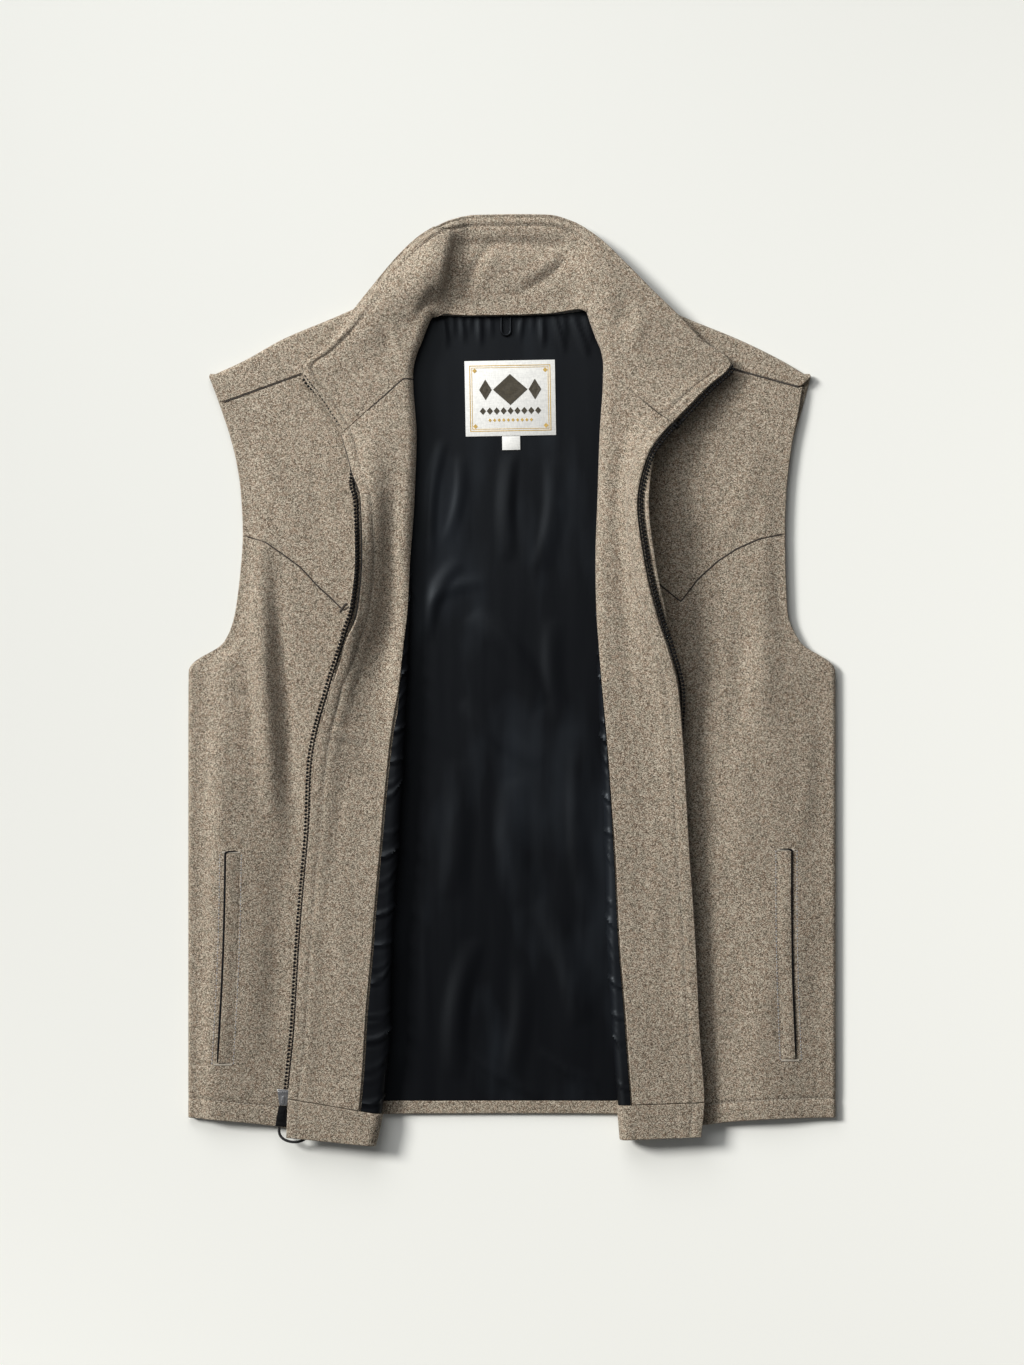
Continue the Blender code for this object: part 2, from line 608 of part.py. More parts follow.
def finish_mesh(name, build, finish):
    bmesh.ops.recalc_face_normals(build, faces=build.faces)
    data = bpy.data.meshes.new(name)
    build.to_mesh(data)
    build.free()
    data.shade_smooth()
    data.set_sharp_from_angle(angle=radians(40))
    return add_object(name, data, finish)


def slab(name, rows, low, high, finish, keep=None):
    """A closed sheet between two distances from a surface.

    rows holds the surface's samples. low and high are one distance, or a list with one for
    each column. keep(row, column) says which cells of the grid are cloth.
    """
    columns = len(rows[0])
    lows = low if isinstance(low, list) else [low] * columns
    highs = high if isinstance(high, list) else [high] * columns
    build = bmesh.new()
    layers = []
    for distances in (lows, highs):
        layers.append([[build.verts.new((point + normal * distance) * MM)
                        for (point, normal), distance in zip(row, distances)] for row in rows])
    edges = {}
    for row in range(len(rows) - 1):
        for column in range(columns - 1):
            if keep and not keep(row, column):
                continue
            ring = ((row, column), (row, column + 1), (row + 1, column + 1), (row + 1, column))
            for layer in layers:
                build.faces.new([layer[i][j] for i, j in ring])
            for start, end in zip(ring, ring[1:] + ring[:1]):
                key = frozenset((start, end))
                edges[key] = edges.get(key, 0) + 1
    for key, uses in edges.items():
        if uses == 1:
            (i0, j0), (i1, j1) = key
            low_layer, high_layer = layers
            build.faces.new((low_layer[i0][j0], low_layer[i1][j1], high_layer[i1][j1],
                             high_layer[i0][j0]))
    loose = [vertex for vertex in build.verts if not vertex.link_faces]
    bmesh.ops.delete(build, geom=loose, context="VERTS")
    return finish_mesh(name, build, finish)


def box(name, centre, size, finish, bevel, turn=0.0):
    """A block with rounded edges, turned about the vertical."""
    build = bmesh.new()
    bmesh.ops.create_cube(build, size=1.0)
    bmesh.ops.scale(build, vec=Vector(size) * MM, verts=build.verts)
    bmesh.ops.bevel(build, geom=build.edges[:], offset=bevel * MM, segments=2, profile=0.5,
                    affect="EDGES")
    placed = Matrix.Translation(Vector(centre) * MM) @ Matrix.Rotation(radians(turn), 4, "Z")
    bmesh.ops.transform(build, matrix=placed, verts=build.verts)
    return finish_mesh(name, build, finish)


def cord(name, points, diameter, finish):
    """A round cord along straight steps between points."""
    curve = bpy.data.curves.new(name, "CURVE")
    curve.dimensions = "3D"
    curve.bevel_depth = diameter / 2 * MM
    curve.bevel_resolution = 2
    curve.use_fill_caps = True
    spline = curve.splines.new("POLY")
    spline.points.add(len(points) - 1)
    for spot, point in zip(spline.points, points):
        spot.co = (*(Vector(point) * MM), 1)
    return add_object(name, curve, finish)


def wool_places(side, station):
    """Columns of a front's wool, out to where its own edge lies."""
    form = FORM_SECTIONS[side].at(station)
    end = edge_place(side, station, form.wool)
    lower = [share for share, _ in YOKE_DIP[side]][:-1]
    roll = ROLL_PLACES if station <= COLLAR_STATION else [NECK_EDGE_PLACE] + ROLL_PLACES[1:]
    return SIDE_PLACES + lower + roll + [mix(2.0, end, share) for share in RUN_SHARES]


def wool_samples(side, station):
    return front_samples(side, station, wool_places(side, station))


def make_fronts():
    shoulder_row = YOKE_ROWS.index(COLLAR_STATION)
    for side in SIDES:
        rows = FRONT_ROWS[:-1] + [YOKE_STATION - YOKE_GAP]
        slab(f"front_{side}", [wool_samples(side, row) for row in rows],
             -HALF_WOOL, HALF_WOOL, "wool")
        rows = [YOKE_STATION + YOKE_GAP] + YOKE_ROWS[1:]
        neck_column = len(SIDE_PLACES) + len(YOKE_DIP[side]) - 1
        slab(f"yoke_{side}", [wool_samples(side, row) for row in rows],
             -HALF_WOOL, HALF_WOOL, "wool",
             keep=lambda row, column: row < shoulder_row or column < neck_column)


def strip_distances(rises):
    """Low and high distances of a facing, which rises where it covers the zip tape."""
    lows = [mix(SKIN_LOW, OVER_TAPE_LOW, rise) for rise in rises]
    return lows, [low + FACING for low in lows]


def strip_places(side, station, first):
    """Columns of a facing from its inner edge to the zip edge, closer round the fold."""
    over_fold = [mix(first, FACING_TURN_END, share) for share in FACING_STARTS]
    rise_start = edge_place(side, station, -TAPE_WIDTH - FACING_RISE_START)
    rise_end = edge_place(side, station, -TAPE_WIDTH - FACING_RISE_END)
    over_tape = [rise_start, rise_end, edge_place(side, station, -TAPE_WIDTH / 2), 3.0]
    return over_fold + FACING_FLAT + over_tape


def make_facings():
    for side in SIDES:
        low, high = strip_distances(FACING_RISES)
        rows = [HEM_SEAM_STATION + SEAM_GAP] + STRIP_ROWS[1:]
        samples = []
        for row in rows:
            first = FORM_SECTIONS[side].at(row).facing
            samples.append(front_samples(side, row, strip_places(side, row, first)))
        slab(f"facing_{side}", samples, low, high, "wool")
        rows = FRONT_ROWS[:3]
        samples = [front_samples(side, row, strip_places(side, row, 1.1)) for row in rows]
        slab(f"hem_band_{side}", samples, low, high, "wool")


def make_front_linings():
    for side in SIDES:
        samples = []
        for row in [HEM_SEAM_STATION + SEAM_GAP] + STRIP_ROWS[1:]:
            last = FORM_SECTIONS[side].at(row).facing - FRONT_LINING_GAP
            places = [*FRONT_LINING_START, *(mix(1.0, last, share) for share in LINING_ARC)]
            samples.append(front_samples(side, row, places))
        slab(f"front_lining_{side}", samples, SKIN_LOW, SKIN_LOW + LINING, "satin")


def edge_samples(side, station, distances):
    return front_samples(side, station, [edge_place(side, station, out) for out in distances])


def raised(samples, height):
    return [(point + normal * height, normal) for point, normal in samples]


def make_zip():
    half = CHAIN_WIDTH / 2
    chain_rows = [CHAIN_STATION] + STRIP_ROWS[1:]
    for side in SIDES:
        chain = []
        tape = []
        for row in [TAPE_STATION] + chain_rows:
            form = FORM_SECTIONS[side].at(row)
            inner = form.teeth - half
            tape_edge = min(inner, 0.0) - SEAM_GAP
            tape.append(edge_samples(side, row, (-TAPE_WIDTH, -TAPE_WIDTH / 2, tape_edge)))
            if row > TAPE_STATION:
                samples = edge_samples(side, row, (inner, form.teeth + half))
                chain.append(raised(samples, form.zip))
        stations = CHAIN_ON_COLLAR
        if side == "right":
            stations = [len(COLLAR) - 1 - station for station in stations]
        for station in stations:
            edge = collar_point(2, station) - collar_point(1, station)
            out = [2 + distance / edge.xy.length
                   for distance in (CHAIN_COLLAR_GAP, CHAIN_COLLAR_GAP + CHAIN_WIDTH)]
            chain.append(raised(collar_samples(station, out), CHAIN_COLLAR_HEIGHT))
        slab(f"zip_chain_{side}", chain, -CHAIN_HEIGHT / 2, CHAIN_HEIGHT / 2, "plastic")
        slab(f"zip_tape_{side}", tape[:-1], TAPE_LOW, TAPE_LOW + TAPE, "tape")


def make_back():
    columns = [row[0] for row in BACK_TOP]
    columns = [-SIDE_END_BACK, -1.5] + columns + [1.5, SIDE_END_BACK]
    flat_rows = [row[0] for row in ARMHOLE]
    wrap_rows = [SHOULDER_TIP_Y + wrap for wrap in SHOULDER_ROWS]
    samples = [back_samples(row, columns) for row in flat_rows + wrap_rows]
    neck = range(columns.index(NECK_LEFT), columns.index(NECK_RIGHT))
    slab("back_panel", samples, 0.0, WOOL, "wool",
         keep=lambda row, column: row < len(flat_rows) - 1 or column not in neck)


def make_back_lining():
    """The back's lining and, below it, the turned-up hem."""
    columns = [row[0] for row in BACK_TOP if abs(row[0]) < LINING_ACROSS - 0.01]
    columns = [-LINING_ACROSS] + columns + [LINING_ACROSS]
    lining_rows = (HEM_SIDE_Y + BACK_HEM_WIDTH + SEAM_GAP, *LINING_ROWS)
    samples = [back_samples(row, columns) for row in lining_rows]
    neck = [index for index, across in enumerate(columns) if NECK_LEFT < across < NECK_RIGHT]
    top = [back_samples(SHOULDER_TIP_Y - LINING_SHOULDER_GAP, columns)]
    for index in neck:
        top[0][index] = back_samples(SHOULDER_TIP_Y - LINING_NECK_GAP, [columns[index]])[0]
    slab("back_lining", samples + top, LINING_LOW, LINING_HIGH, "satin")
    hem_rows = [HEM_SIDE_Y + SEAM_GAP, HEM_SIDE_Y + BACK_HEM_WIDTH]
    hem = [back_samples(row, columns) for row in hem_rows]
    slab("hem_band_back", hem, LINING_LOW, LINING_LOW + BACK_HEM_THICKNESS, "wool")


def make_collar():
    arc = evenly(0.0, 1.0, 4)
    samples = [collar_samples(station, arc + COLLAR_RUN) for station in COLLAR_ROWS]
    half = COLLAR_CLOTH / 2
    slab("collar_outer", samples, -half, half, "wool")
    slab("collar_inner", samples, half + LAYER_GAP, half + LAYER_GAP + COLLAR_CLOTH, "wool")


def locate_on_front(side, x, y):
    """Section place and station of the lower layer's point above (x, y)."""
    place, station = 0.3, y
    for _ in range(12):
        found = front_point(side, place, station)
        wider = front_point(side, place + 0.01, station)
        place += 0.01 * (SIDES[side] * x - found.x) / (wider.x - found.x)
        station += y - found.y
    return place, station


def make_pocket_welts():
    high = -HALF_WOOL - WELT_GAP
    low = high - WELT_THICKNESS
    for values in POCKETS:
        pocket = SimpleNamespace(**dict(zip(POCKET_COLUMNS, values)))
        rows = []
        for share in evenly(0.0, 1.0, 9):
            x = mix(pocket.bottom_x, pocket.top_x, share)
            y = mix(pocket.bottom_y, pocket.top_y, share)
            row = []
            for out in (WELT_WIDTH / 2, 0, -WELT_WIDTH / 2):
                place, station = locate_on_front(pocket.side, x + out, y)
                row += front_samples(pocket.side, station, [place])
            rows.append(row)
        slab(f"pocket_welt_{pocket.side}", rows, low, high, "wool")


def flat_piece(name, centre, size, turn, finish):
    z = LINING_HIGH + SEAM_GAP + LABEL_THICKNESS / 2
    box(name, (*centre, z), (*size, LABEL_THICKNESS), finish, LABEL_BEVEL, turn)


def make_labels():
    flat_piece("neck_label", LABEL_CENTRE, LABEL_SIZE, LABEL_TURN, "label")
    tab_y = LABEL_CENTRE[1] - LABEL_SIZE[1] / 2 - SEAM_GAP - TAB_SIZE[1] / 2
    flat_piece("size_tab", (LABEL_CENTRE[0] + TAB_OFFSET, tab_y), TAB_SIZE, LABEL_TURN, "label")


def make_hanger_loop():
    """A short cord loop that hangs from the back neck seam onto the lining."""
    z = LINING_HIGH + SEAM_GAP + LOOP_DIAMETER / 2
    arc_y = LOOP_BOTTOM_Y + LOOP_HALF_WIDTH
    points = [(LOOP_X - LOOP_HALF_WIDTH, LOOP_TOP_Y, z)]
    for angle in evenly(pi, 2 * pi, 6):
        points.append((LOOP_X + LOOP_HALF_WIDTH * cos(angle), arc_y + LOOP_HALF_WIDTH * sin(angle), z))
    points.append((LOOP_X + LOOP_HALF_WIDTH, LOOP_TOP_Y, z))
    cord("hanger_loop", points, LOOP_DIAMETER, "satin")


def make_zip_ends():
    box("zip_slider", SLIDER_CENTRE, SLIDER_SIZE, "silver", SLIDER_BEVEL, ZIP_END_TURN)
    box("zip_box", BOX_CENTRE, BOX_SIZE, "plastic", BOX_BEVEL, ZIP_END_TURN)
    box("zip_pin", PIN_CENTRE, PIN_SIZE, "silver", PIN_BEVEL)
    cord("zip_pull", PULL_POINTS, PULL_DIAMETER, "plastic")


def main():
    for thing in list(bpy.data.objects):
        bpy.data.objects.remove(thing, do_unlink=True)
    make_back()
    make_back_lining()
    make_fronts()
    make_front_linings()
    make_facings()
    make_collar()
    make_zip()
    make_pocket_welts()
    make_labels()
    make_hanger_loop()
    make_zip_ends()


main()
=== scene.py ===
"""The looks of a western vest that lies open on its back on a pale table.

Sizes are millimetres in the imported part's frame: +X to the viewer's right, +Y to the collar and
+Z up. Each cloth piece is a thin closed shell on the surface that its solid has, at a finer
step, with its folds, puckers and stitch lines on it.
"""

from math import cos, hypot, pi, radians, sin
from types import SimpleNamespace

import bmesh
import bpy
import numpy as np
from mathutils import Matrix, Vector

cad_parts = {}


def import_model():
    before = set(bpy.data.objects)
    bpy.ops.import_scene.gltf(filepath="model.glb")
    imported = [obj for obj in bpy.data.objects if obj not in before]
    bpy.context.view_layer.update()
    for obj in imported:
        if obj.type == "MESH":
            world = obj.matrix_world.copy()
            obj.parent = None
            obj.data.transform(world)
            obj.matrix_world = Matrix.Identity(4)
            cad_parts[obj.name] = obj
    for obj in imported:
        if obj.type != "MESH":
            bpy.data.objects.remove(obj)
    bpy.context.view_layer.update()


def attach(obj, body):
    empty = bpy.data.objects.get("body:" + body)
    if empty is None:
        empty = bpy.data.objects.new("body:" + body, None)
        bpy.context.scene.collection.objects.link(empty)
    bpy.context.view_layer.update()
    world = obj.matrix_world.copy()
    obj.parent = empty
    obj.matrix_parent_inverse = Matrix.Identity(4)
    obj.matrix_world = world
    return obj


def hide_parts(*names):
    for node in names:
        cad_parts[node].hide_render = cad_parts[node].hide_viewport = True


MM = 0.001

# Cloth thicknesses and gaps
WOOL = 2.2
HALF_WOOL = WOOL / 2
COLLAR_CLOTH = 2.0
FACING = 2.0
LINING = 0.8
TAPE = 0.6
SEAM_GAP = 0.3
LAYER_GAP = 0.8

EDGE_ROUNDING = 0.35
STITCH_HALF_WIDTH = 1.3
UP = (0.0, 0.0, 1.0)

# Levels of the laid-out layers
BACK_FOLD = 3.7
LINING_LOW = WOOL + SEAM_GAP
LINING_HIGH = LINING_LOW + LINING
FRONT_LEVEL = 2 * BACK_FOLD - HALF_WOOL
SIDE_CURL = (BACK_FOLD - HALF_WOOL) * pi / 2

# Distances from the wool's middle surface, on the side that is the garment's inside
SKIN_LOW = HALF_WOOL + LAYER_GAP
TAPE_LOW = HALF_WOOL + 0.6
OVER_TAPE_LOW = TAPE_LOW + TAPE + 0.7
ROLL_SKIN = 3.0
COLLAR_LEAD = 2.0
VALLEY_LEAN = {"left": 0.65, "right": 1.0}

# Zip sizes
CHAIN_WIDTH = 4.6
CHAIN_STATION = -360.0
TAPE_STATION = -380.0
TAPE_WIDTH = 13.0
TAPE_RISE_IN = 7.0
TAPE_RISE = 5.0

# Outline of the garment's back
HEM_SIDE_Y = -380.0
HEM_CENTRE_Y = -377.0
SHOULDER_TIP_Y = 266.0
WRAP_END = SHOULDER_TIP_Y + 100.0
NECK_LEFT = -0.36
NECK_RIGHT = 0.345
BACK_HEM_WIDTH = 10.6
BACK_HALF_WIDTH = 281.4
HEM_STITCH_UP = 16.5
SHOULDER_DRAW = 0.034
SIDE_END_BACK = 1.97
SIDE_END_FRONT = -0.96
NECK_EDGE_PLACE = 0.972

ARMHOLE_COLUMNS = ("station", "left", "right", "curl")
ARMHOLE = (
    (-380, 281.4, 281.4, 90),
    (-190, 281.4, 281.4, 90),
    (-20, 281.4, 281.4, 90),
    (7.5, 281.2, 281.2, 70),
    (20, 263.5, 260.5, 20),
    (34, 249.7, 250, 8),
    (51, 242.4, 240.6, 5),
    (80, 237.7, 238.1, 4),
    (110, 234.2, 237.5, 4),
    (140, 234.2, 237.5, 4),
    (174, 236.6, 239.3, 4),
    (208, 243.4, 243.8, 2),
    (244, 254.9, 253.8, 1),
    (266, 263, 259.5, 1),
)

# Top edge of the back: shoulder folds outside the neck, the neck's cut edge inside it
BACK_TOP_COLUMNS = ("station", "top")
BACK_TOP = (
    (-1, 266),
    (-0.90, 278),
    (-0.775, 296),
    (-0.618, 313),
    (-0.47, 329),
    (NECK_LEFT, 338),
    (-0.31, 326),
    (-0.27, 318),
    (-0.14, 316),
    (0, 316.7),
    (0.14, 318),
    (0.25, 321.6),
    (0.30, 327),
    (NECK_RIGHT, 338),
    (0.47, 328),
    (0.61, 313),
    (0.775, 296),
    (0.92, 278),
    (1, 266),
)

# Front sections: distances out from the centre line, and the y of each section's three ends
OUTLINE_COLUMNS = ("station", "side_x", "side_y", "fold_x", "fold_y", "edge_x", "edge_y")
OUTLINE = {
    "left": (
        (-396, 281.4, -380.2, 118.5, -403, 195, -396),
        (-368, 281.4, -352, 112.5, -375, 193.5, -362.6),
        (-305, 281.4, -300, 104.6, -305, 188, -305),
        (-222, 281.4, -220, 102.5, -222, 183, -222),
        (-140, 281.4, -140, 97, -140, 176, -140),
        (-60, 281.4, -60, 92.6, -60, 169, -60),
        (0, 281.2, 7.5, 90.5, -5, 155.8, -5),
        (35, 249.7, 34, 88.7, 30, 143.8, 33),
        (62, 240.4, 60, 87.5, 60, 135.2, 62),
        (100, 234, 124.4, 88, 100, 131.3, 104),
        (155, 235.8, 164, 85.3, 156.6, 131.5, 152),
        (198, 240, 192, 83.5, 210, 138.5, 182),
        (240, 243.5, 208.8, 86.5, 260, 147, 212.3),
        (262, 248.5, 225, 84.5, 281, 147, 212.3),
        (285, 254, 241, 77.6, 300.7, 147, 212.3),
    ),
    "right": (
        (-396, 281.4, -380.2, 94, -398, 163.3, -395.6),
        (-368, 281.4, -352, 91.5, -368, 166.2, -365.8),
        (-305, 281.4, -300, 86.6, -305, 162.3, -305),
        (-222, 281.4, -220, 82, -222, 158.4, -222),
        (-140, 281.4, -140, 80, -140, 153, -140),
        (-60, 281.4, -60, 77, -60, 148.7, -60),
        (0, 281.2, 7.5, 74.2, -5, 143.5, -5),
        (35, 250, 34, 73.4, 30, 134.5, 30),
        (62, 239.4, 62, 73, 60, 125.3, 60),
        (100, 237.5, 126.2, 73, 100, 116.3, 102),
        (155, 238.8, 164, 74.8, 156, 110.5, 152),
        (198, 241.8, 193, 76.7, 212, 119, 193),
        (240, 244.3, 210, 79.6, 262, 138.3, 220.1),
        (262, 249, 232, 79.2, 281, 138.3, 220.1),
        (285, 252.5, 254.2, 73.3, 299.7, 138.3, 220.1),
    ),
}

# Heights along the same sections. curl is the side edge's turn in degrees, low the lower layer
# at the fold, roll the fold's radius, edge the zip edge's height and valley the dip before it.
# facing is where its inner edge lies on the section, and teeth and wool are how far the tooth
# line and the outer wool reach past the facing's edge. zip is the teeth's height on the wool.
# Both sides share the first four columns.
FORM_COLUMNS = ("station", "curl", "low", "roll", "edge", "valley", "facing", "teeth", "zip", "wool")
FORM_SHARED = (
    (-396, 90, 8.4, 4.2),
    (-368, 90, 8.4, 4.2),
    (-305, 90, 8.6, 4.3),
    (-222, 90, 8.7, 4.5),
    (-140, 90, 8.8, 4.6),
    (-60, 90, 8.8, 4.7),
    (0, 70, 8.8, 4.8),
    (35, 8, 8.8, 4.8),
    (62, 5, 8.8, 4.8),
    (100, 4, 8.8, 4.8),
    (155, 4, 8.8, 4.8),
    (198, 4, 8.7, 4.7),
    (240, 2, 8.6, 4.6),
    (262, 1, 8.2, 4.6),
    (285, 1, 7.3, 4.6),
)
FORM_OWN = {
    "left": (
        (14.5, 0, 2.16, 0.3, 0, -2.7),
        (14.5, 0, 2.17, 0.3, 0, -2.7),
        (15, 0.5, 2.20, 0.3, 0, -2.7),
        (15, 0.8, 2.14, 0.3, 0, -2.7),
        (15.5, 1, 2.12, 0.3, 0, -2.7),
        (20, 3.5, 2.07, 2.9, 0, 0.2),
        (25, 5.5, 1.97, 2.9, 3.4, 0.2),
        (29, 7, 1.88, 2.9, 3.4, 5),
        (31, 7.5, 1.76, 2.9, 3.4, 5),
        (30, 7, 1.62, 2.9, 3.4, 5),
        (25, 4.5, 1.50, 2.9, 3.4, 5),
        (18.5, 1.5, 1.50, 2.9, 3.4, 2.5),
        (14.5, 0, 1.50, 2.9, 3.4, 0.2),
        (14.5, 0, 1.50, 2.9, 3.4, 0.2),
        (14.5, 0, 1.50, 2.9, 3.4, 0.2),
    ),
    "right": (
        (14.5, 0, 2.08, -3, 0, -6),
        (14.5, 0, 2.08, -3, 0, -6),
        (16, 0.5, 2.08, -3, 0, -6),
        (17, 0.8, 2.05, -3, 0, -6),
        (19, 1, 2.02, -3, 0, -6),
        (21.5, 1.5, 1.92, -3, 0, -6),
        (24, 2, 1.82, 3, 0, 0.3),
        (27.5, 2, 1.72, 3, 3.4, 0.3),
        (31, 2, 1.62, 3, 3.4, 6.5),
        (33, 2, 1.53, 3, 3.4, 6.5),
        (34, 2, 1.50, 3, 3.4, 6.5),
        (30, 1, 1.50, 3, 3.4, 3.5),
        (25, 0, 1.50, 3, 3.4, 0.2),
        (25, 0, 1.50, 3, 3.4, 0.2),
        (25, 0, 1.50, 3, 3.4, 0.2),
    ),
}

# How far the yoke seam dips below a straight section, along the lower layer from side to fold
YOKE_STATION = 100.0
YOKE_FADE_LOW = 200.0
YOKE_FADE_HIGH = 140.0
YOKE_DIP = {
    "left": ((0, 0), (0.12, 2.2), (0.24, 10.3), (0.35, 18.7), (0.45, 31), (0.54, 40),
             (0.626, 49), (0.73, 36.6), (0.86, 16), (1, 0)),
    "right": ((0, 0), (0.13, 1), (0.25, 5.8), (0.36, 13.7), (0.47, 26), (0.57, 43.4),
              (0.70, 23.9), (0.80, 13), (0.90, 5), (1, 0)),
}
HEM_STATION = -396.0
HEM_SEAM_STATION = -368.0
HEM_BOW = {"left": 3.6, "right": 5.5}
HEM_BOW_FADE = 90.0
COLLAR_STATION = 240.0
SHOULDER_STATION = 285.0

# Soft folds of the fronts' lower layer, from one end to the other, out from the centre line
FOLD_COLUMNS = ("x0", "y0", "x1", "y1", "half_width", "height")
FRONT_FOLDS = {
    "left": (
        (221, 112, 206, -120, 15, 5),
        (262, -40, 250, -150, 20, 2),
        (224, -215, 230, -330, 22, 1.2),
    ),
    "right": (
        (222, 96, 214, -60, 18, 3),
        (190, -40, 205, -190, 20, 2.2),
        (262, -180, 254, -300, 20, 1.8),
    ),
}

# Collar stations from the left zip edge round the neck to the right one. Each runs from the
# neck fold out to the collar's free edge. aim is the fold's direction in degrees, and turn is
# how much of a half circle the cloth makes there.
COLLAR_COLUMNS = ("station", "fold_x", "fold_y", "aim", "top_x", "top_y", "low", "roll", "turn",
                  "crest", "top_z")
COLLAR = (
    (0, -86.5, 260.4, 180, -147.3, 212.7, 8.6, 4.6, 0.93, 0, 14.5),
    (1, -86.8, 264, 180, -163, 238, 8.6, 4.6, 0.93, 0.5, 14.2),
    (2, -86.5, 268, 178, -182.7, 269.7, 8.6, 4.6, 0.93, 1, 13.5),
    (3, -85.5, 274, 174, -166, 285, 8.5, 4.6, 0.93, 1.5, 13.5),
    (4, -83, 283, 166, -143, 310, 8.2, 4.8, 0.93, 2, 13.5),
    (5, -78.5, 294, 158, -122, 337, 8, 5, 0.93, 3, 14),
    (6, -74, 306, 150, -99, 365.5, 7.6, 5.2, 0.93, 4, 15),
    (7, -71, 313, 135, -75, 385.5, 6.8, 5.2, 0.9, 5, 15),
    (8, -68, 317, 115, -54, 397.6, 5.6, 5, 0.6, 4.5, 14),
    (9, -52, 317.4, 95, -34, 403, 4.4, 1.2, 0, 1.5, 11),
    (10, -30, 317, 90, -16, 403.5, 4, 1, 0, 2.5, 11),
    (11, 0, 317.2, 90, 4, 403.7, 4, 1, 0, 3, 12),
    (12, 30, 318.6, 90, 30, 403.4, 4, 1, 0, 2, 12),
    (13, 54, 321.2, 84, 52, 397.8, 4.4, 1.6, 0, 3, 12),
    (14, 66, 321, 62, 74, 384, 5.6, 4, 0.5, 3.5, 13),
    (15, 69, 310, 38, 98, 361.3, 6.8, 4.6, 0.85, 3.5, 14),
    (16, 73, 297, 25, 120, 338.8, 7.8, 4.8, 0.93, 2.5, 14.5),
    (17, 78, 285, 15, 141, 318.4, 8.3, 4.8, 0.93, 2, 14.5),
    (18, 79.8, 275, 8, 165, 293.5, 8.5, 4.7, 0.93, 1.5, 14),
    (19, 80, 269.5, 3, 189.2, 273.4, 8.6, 4.6, 0.93, 1, 14),
    (20, 79.8, 265.8, 0, 166, 249, 8.6, 4.6, 0.93, 0.5, 20),
    (21, 79.6, 262.4, 0, 138.7, 220.6, 8.6, 4.6, 0.93, 0, 25),
)

SIDES = {"left": -1, "right": 1}

# Stitch lines, teeth, seams with their painted shadow tubes, labels and the hanger loop
EDGE_STITCH = -10.0
GROOVE_DEPTHS = (0.45, 0.85)
GROOVE_FROM = -120.0
GROOVE_RISE = 160.0
COLLAR_STITCH = 10.0
COLLAR_LIP = 2.8
COLLAR_SPANS = ((0, 7, 57), (7, 9, 25), (9, 13, 33), (13, 15, 25), (15, 21, 49))
TOOTH_PITCH = 3.3
BEAD_SHOWN_FROM = -40.0
SEAM_RADIUS = {"left": 0.42, "right": 0.6}
SHOULDER_SEAM_RADIUS = 0.6
TICK = ((-143.2, 66.5), (-146.2, 63.5), (-149.4, 58.5))
EDGE_LINE = (168.0, 238.0)
LABEL_CENTRE = (-1.5, 244.9)
LABEL_SIZE = (78.5, 65.5)
LABEL_TURN = 1.0
LABEL_THICKNESS = 0.7
TAB_SIZE = (15.6, 12.0)
TAB_OFFSET = 0.8
LOOP_DIAMETER = 2.2
LOOP_X = -5.2
LOOP_HALF_WIDTH = 4.0
LOOP_TOP_Y = 315.4
LOOP_BOTTOM_Y = 299.6


class Sections:
    """A table whose columns are read between its rows along smooth curves without overshoot."""

    def __init__(self, columns, rows):
        self.names = columns[1:]
        self.knots = [row[0] for row in rows]
        self.values = list(zip(*[row[1:] for row in rows]))
        self.slopes = [self.knot_slopes(values) for values in self.values]
        self.cache = {}

    def knot_slopes(self, values):
        steps = [b - a for a, b in zip(self.knots, self.knots[1:])]
        rises = [(b - a) / step for a, b, step in zip(values, values[1:], steps)]
        slopes = [rises[0]]
        for before, after in zip(rises, rises[1:]):
            same_way = before * after > 0
            slopes.append(2 * before * after / (before + after) if same_way else 0.0)
        return slopes + [rises[-1]]

    def at(self, station):
        if station not in self.cache:
            self.cache[station] = self.read(station)
        return self.cache[station]

    def read(self, station):
        station = min(max(station, self.knots[0]), self.knots[-1])
        index = 0
        while index < len(self.knots) - 2 and station > self.knots[index + 1]:
            index += 1
        step = self.knots[index + 1] - self.knots[index]
        t = (station - self.knots[index]) / step
        found = {}
        for name, values, slopes in zip(self.names, self.values, self.slopes):
            rise = values[index + 1] - values[index]
            start = slopes[index] * step
            end = slopes[index + 1] * step
            bend = (start + end - 2 * rise) * t + 3 * rise - 2 * start - end
            found[name] = values[index] + start * t + bend * t * t
        return SimpleNamespace(**found)


ARMHOLE_SECTIONS = Sections(ARMHOLE_COLUMNS, ARMHOLE)
BACK_TOP_SECTIONS = Sections(BACK_TOP_COLUMNS, BACK_TOP)
COLLAR_SECTIONS = Sections(COLLAR_COLUMNS, COLLAR)
OUTLINE_SECTIONS = {side: Sections(OUTLINE_COLUMNS, OUTLINE[side]) for side in SIDES}
FORM_SECTIONS = {side: Sections(FORM_COLUMNS, [shared + own for shared, own
                                               in zip(FORM_SHARED, FORM_OWN[side])])
                 for side in SIDES}


def clamp(value):
    return min(max(value, 0.0), 1.0)


def ease(value):
    value = clamp(value)
    return value * value * (3 - 2 * value)


def mix(start, end, share):
    return start + (end - start) * share


def straight_between(points, value):
    """Read a list of (value, height) points along straight lines."""
    for (x0, y0), (x1, y1) in zip(points, points[1:]):
        if value <= x1:
            return mix(y0, y1, clamp((value - x0) / (x1 - x0)))
    return points[-1][1]


def curl_offset(distance, length, degrees):
    """How far out and how far in a strip's point lies when the strip turns like an arc."""
    radius = length / radians(degrees)
    angle = distance / radius
    return radius * sin(angle), radius * (1 - cos(angle))


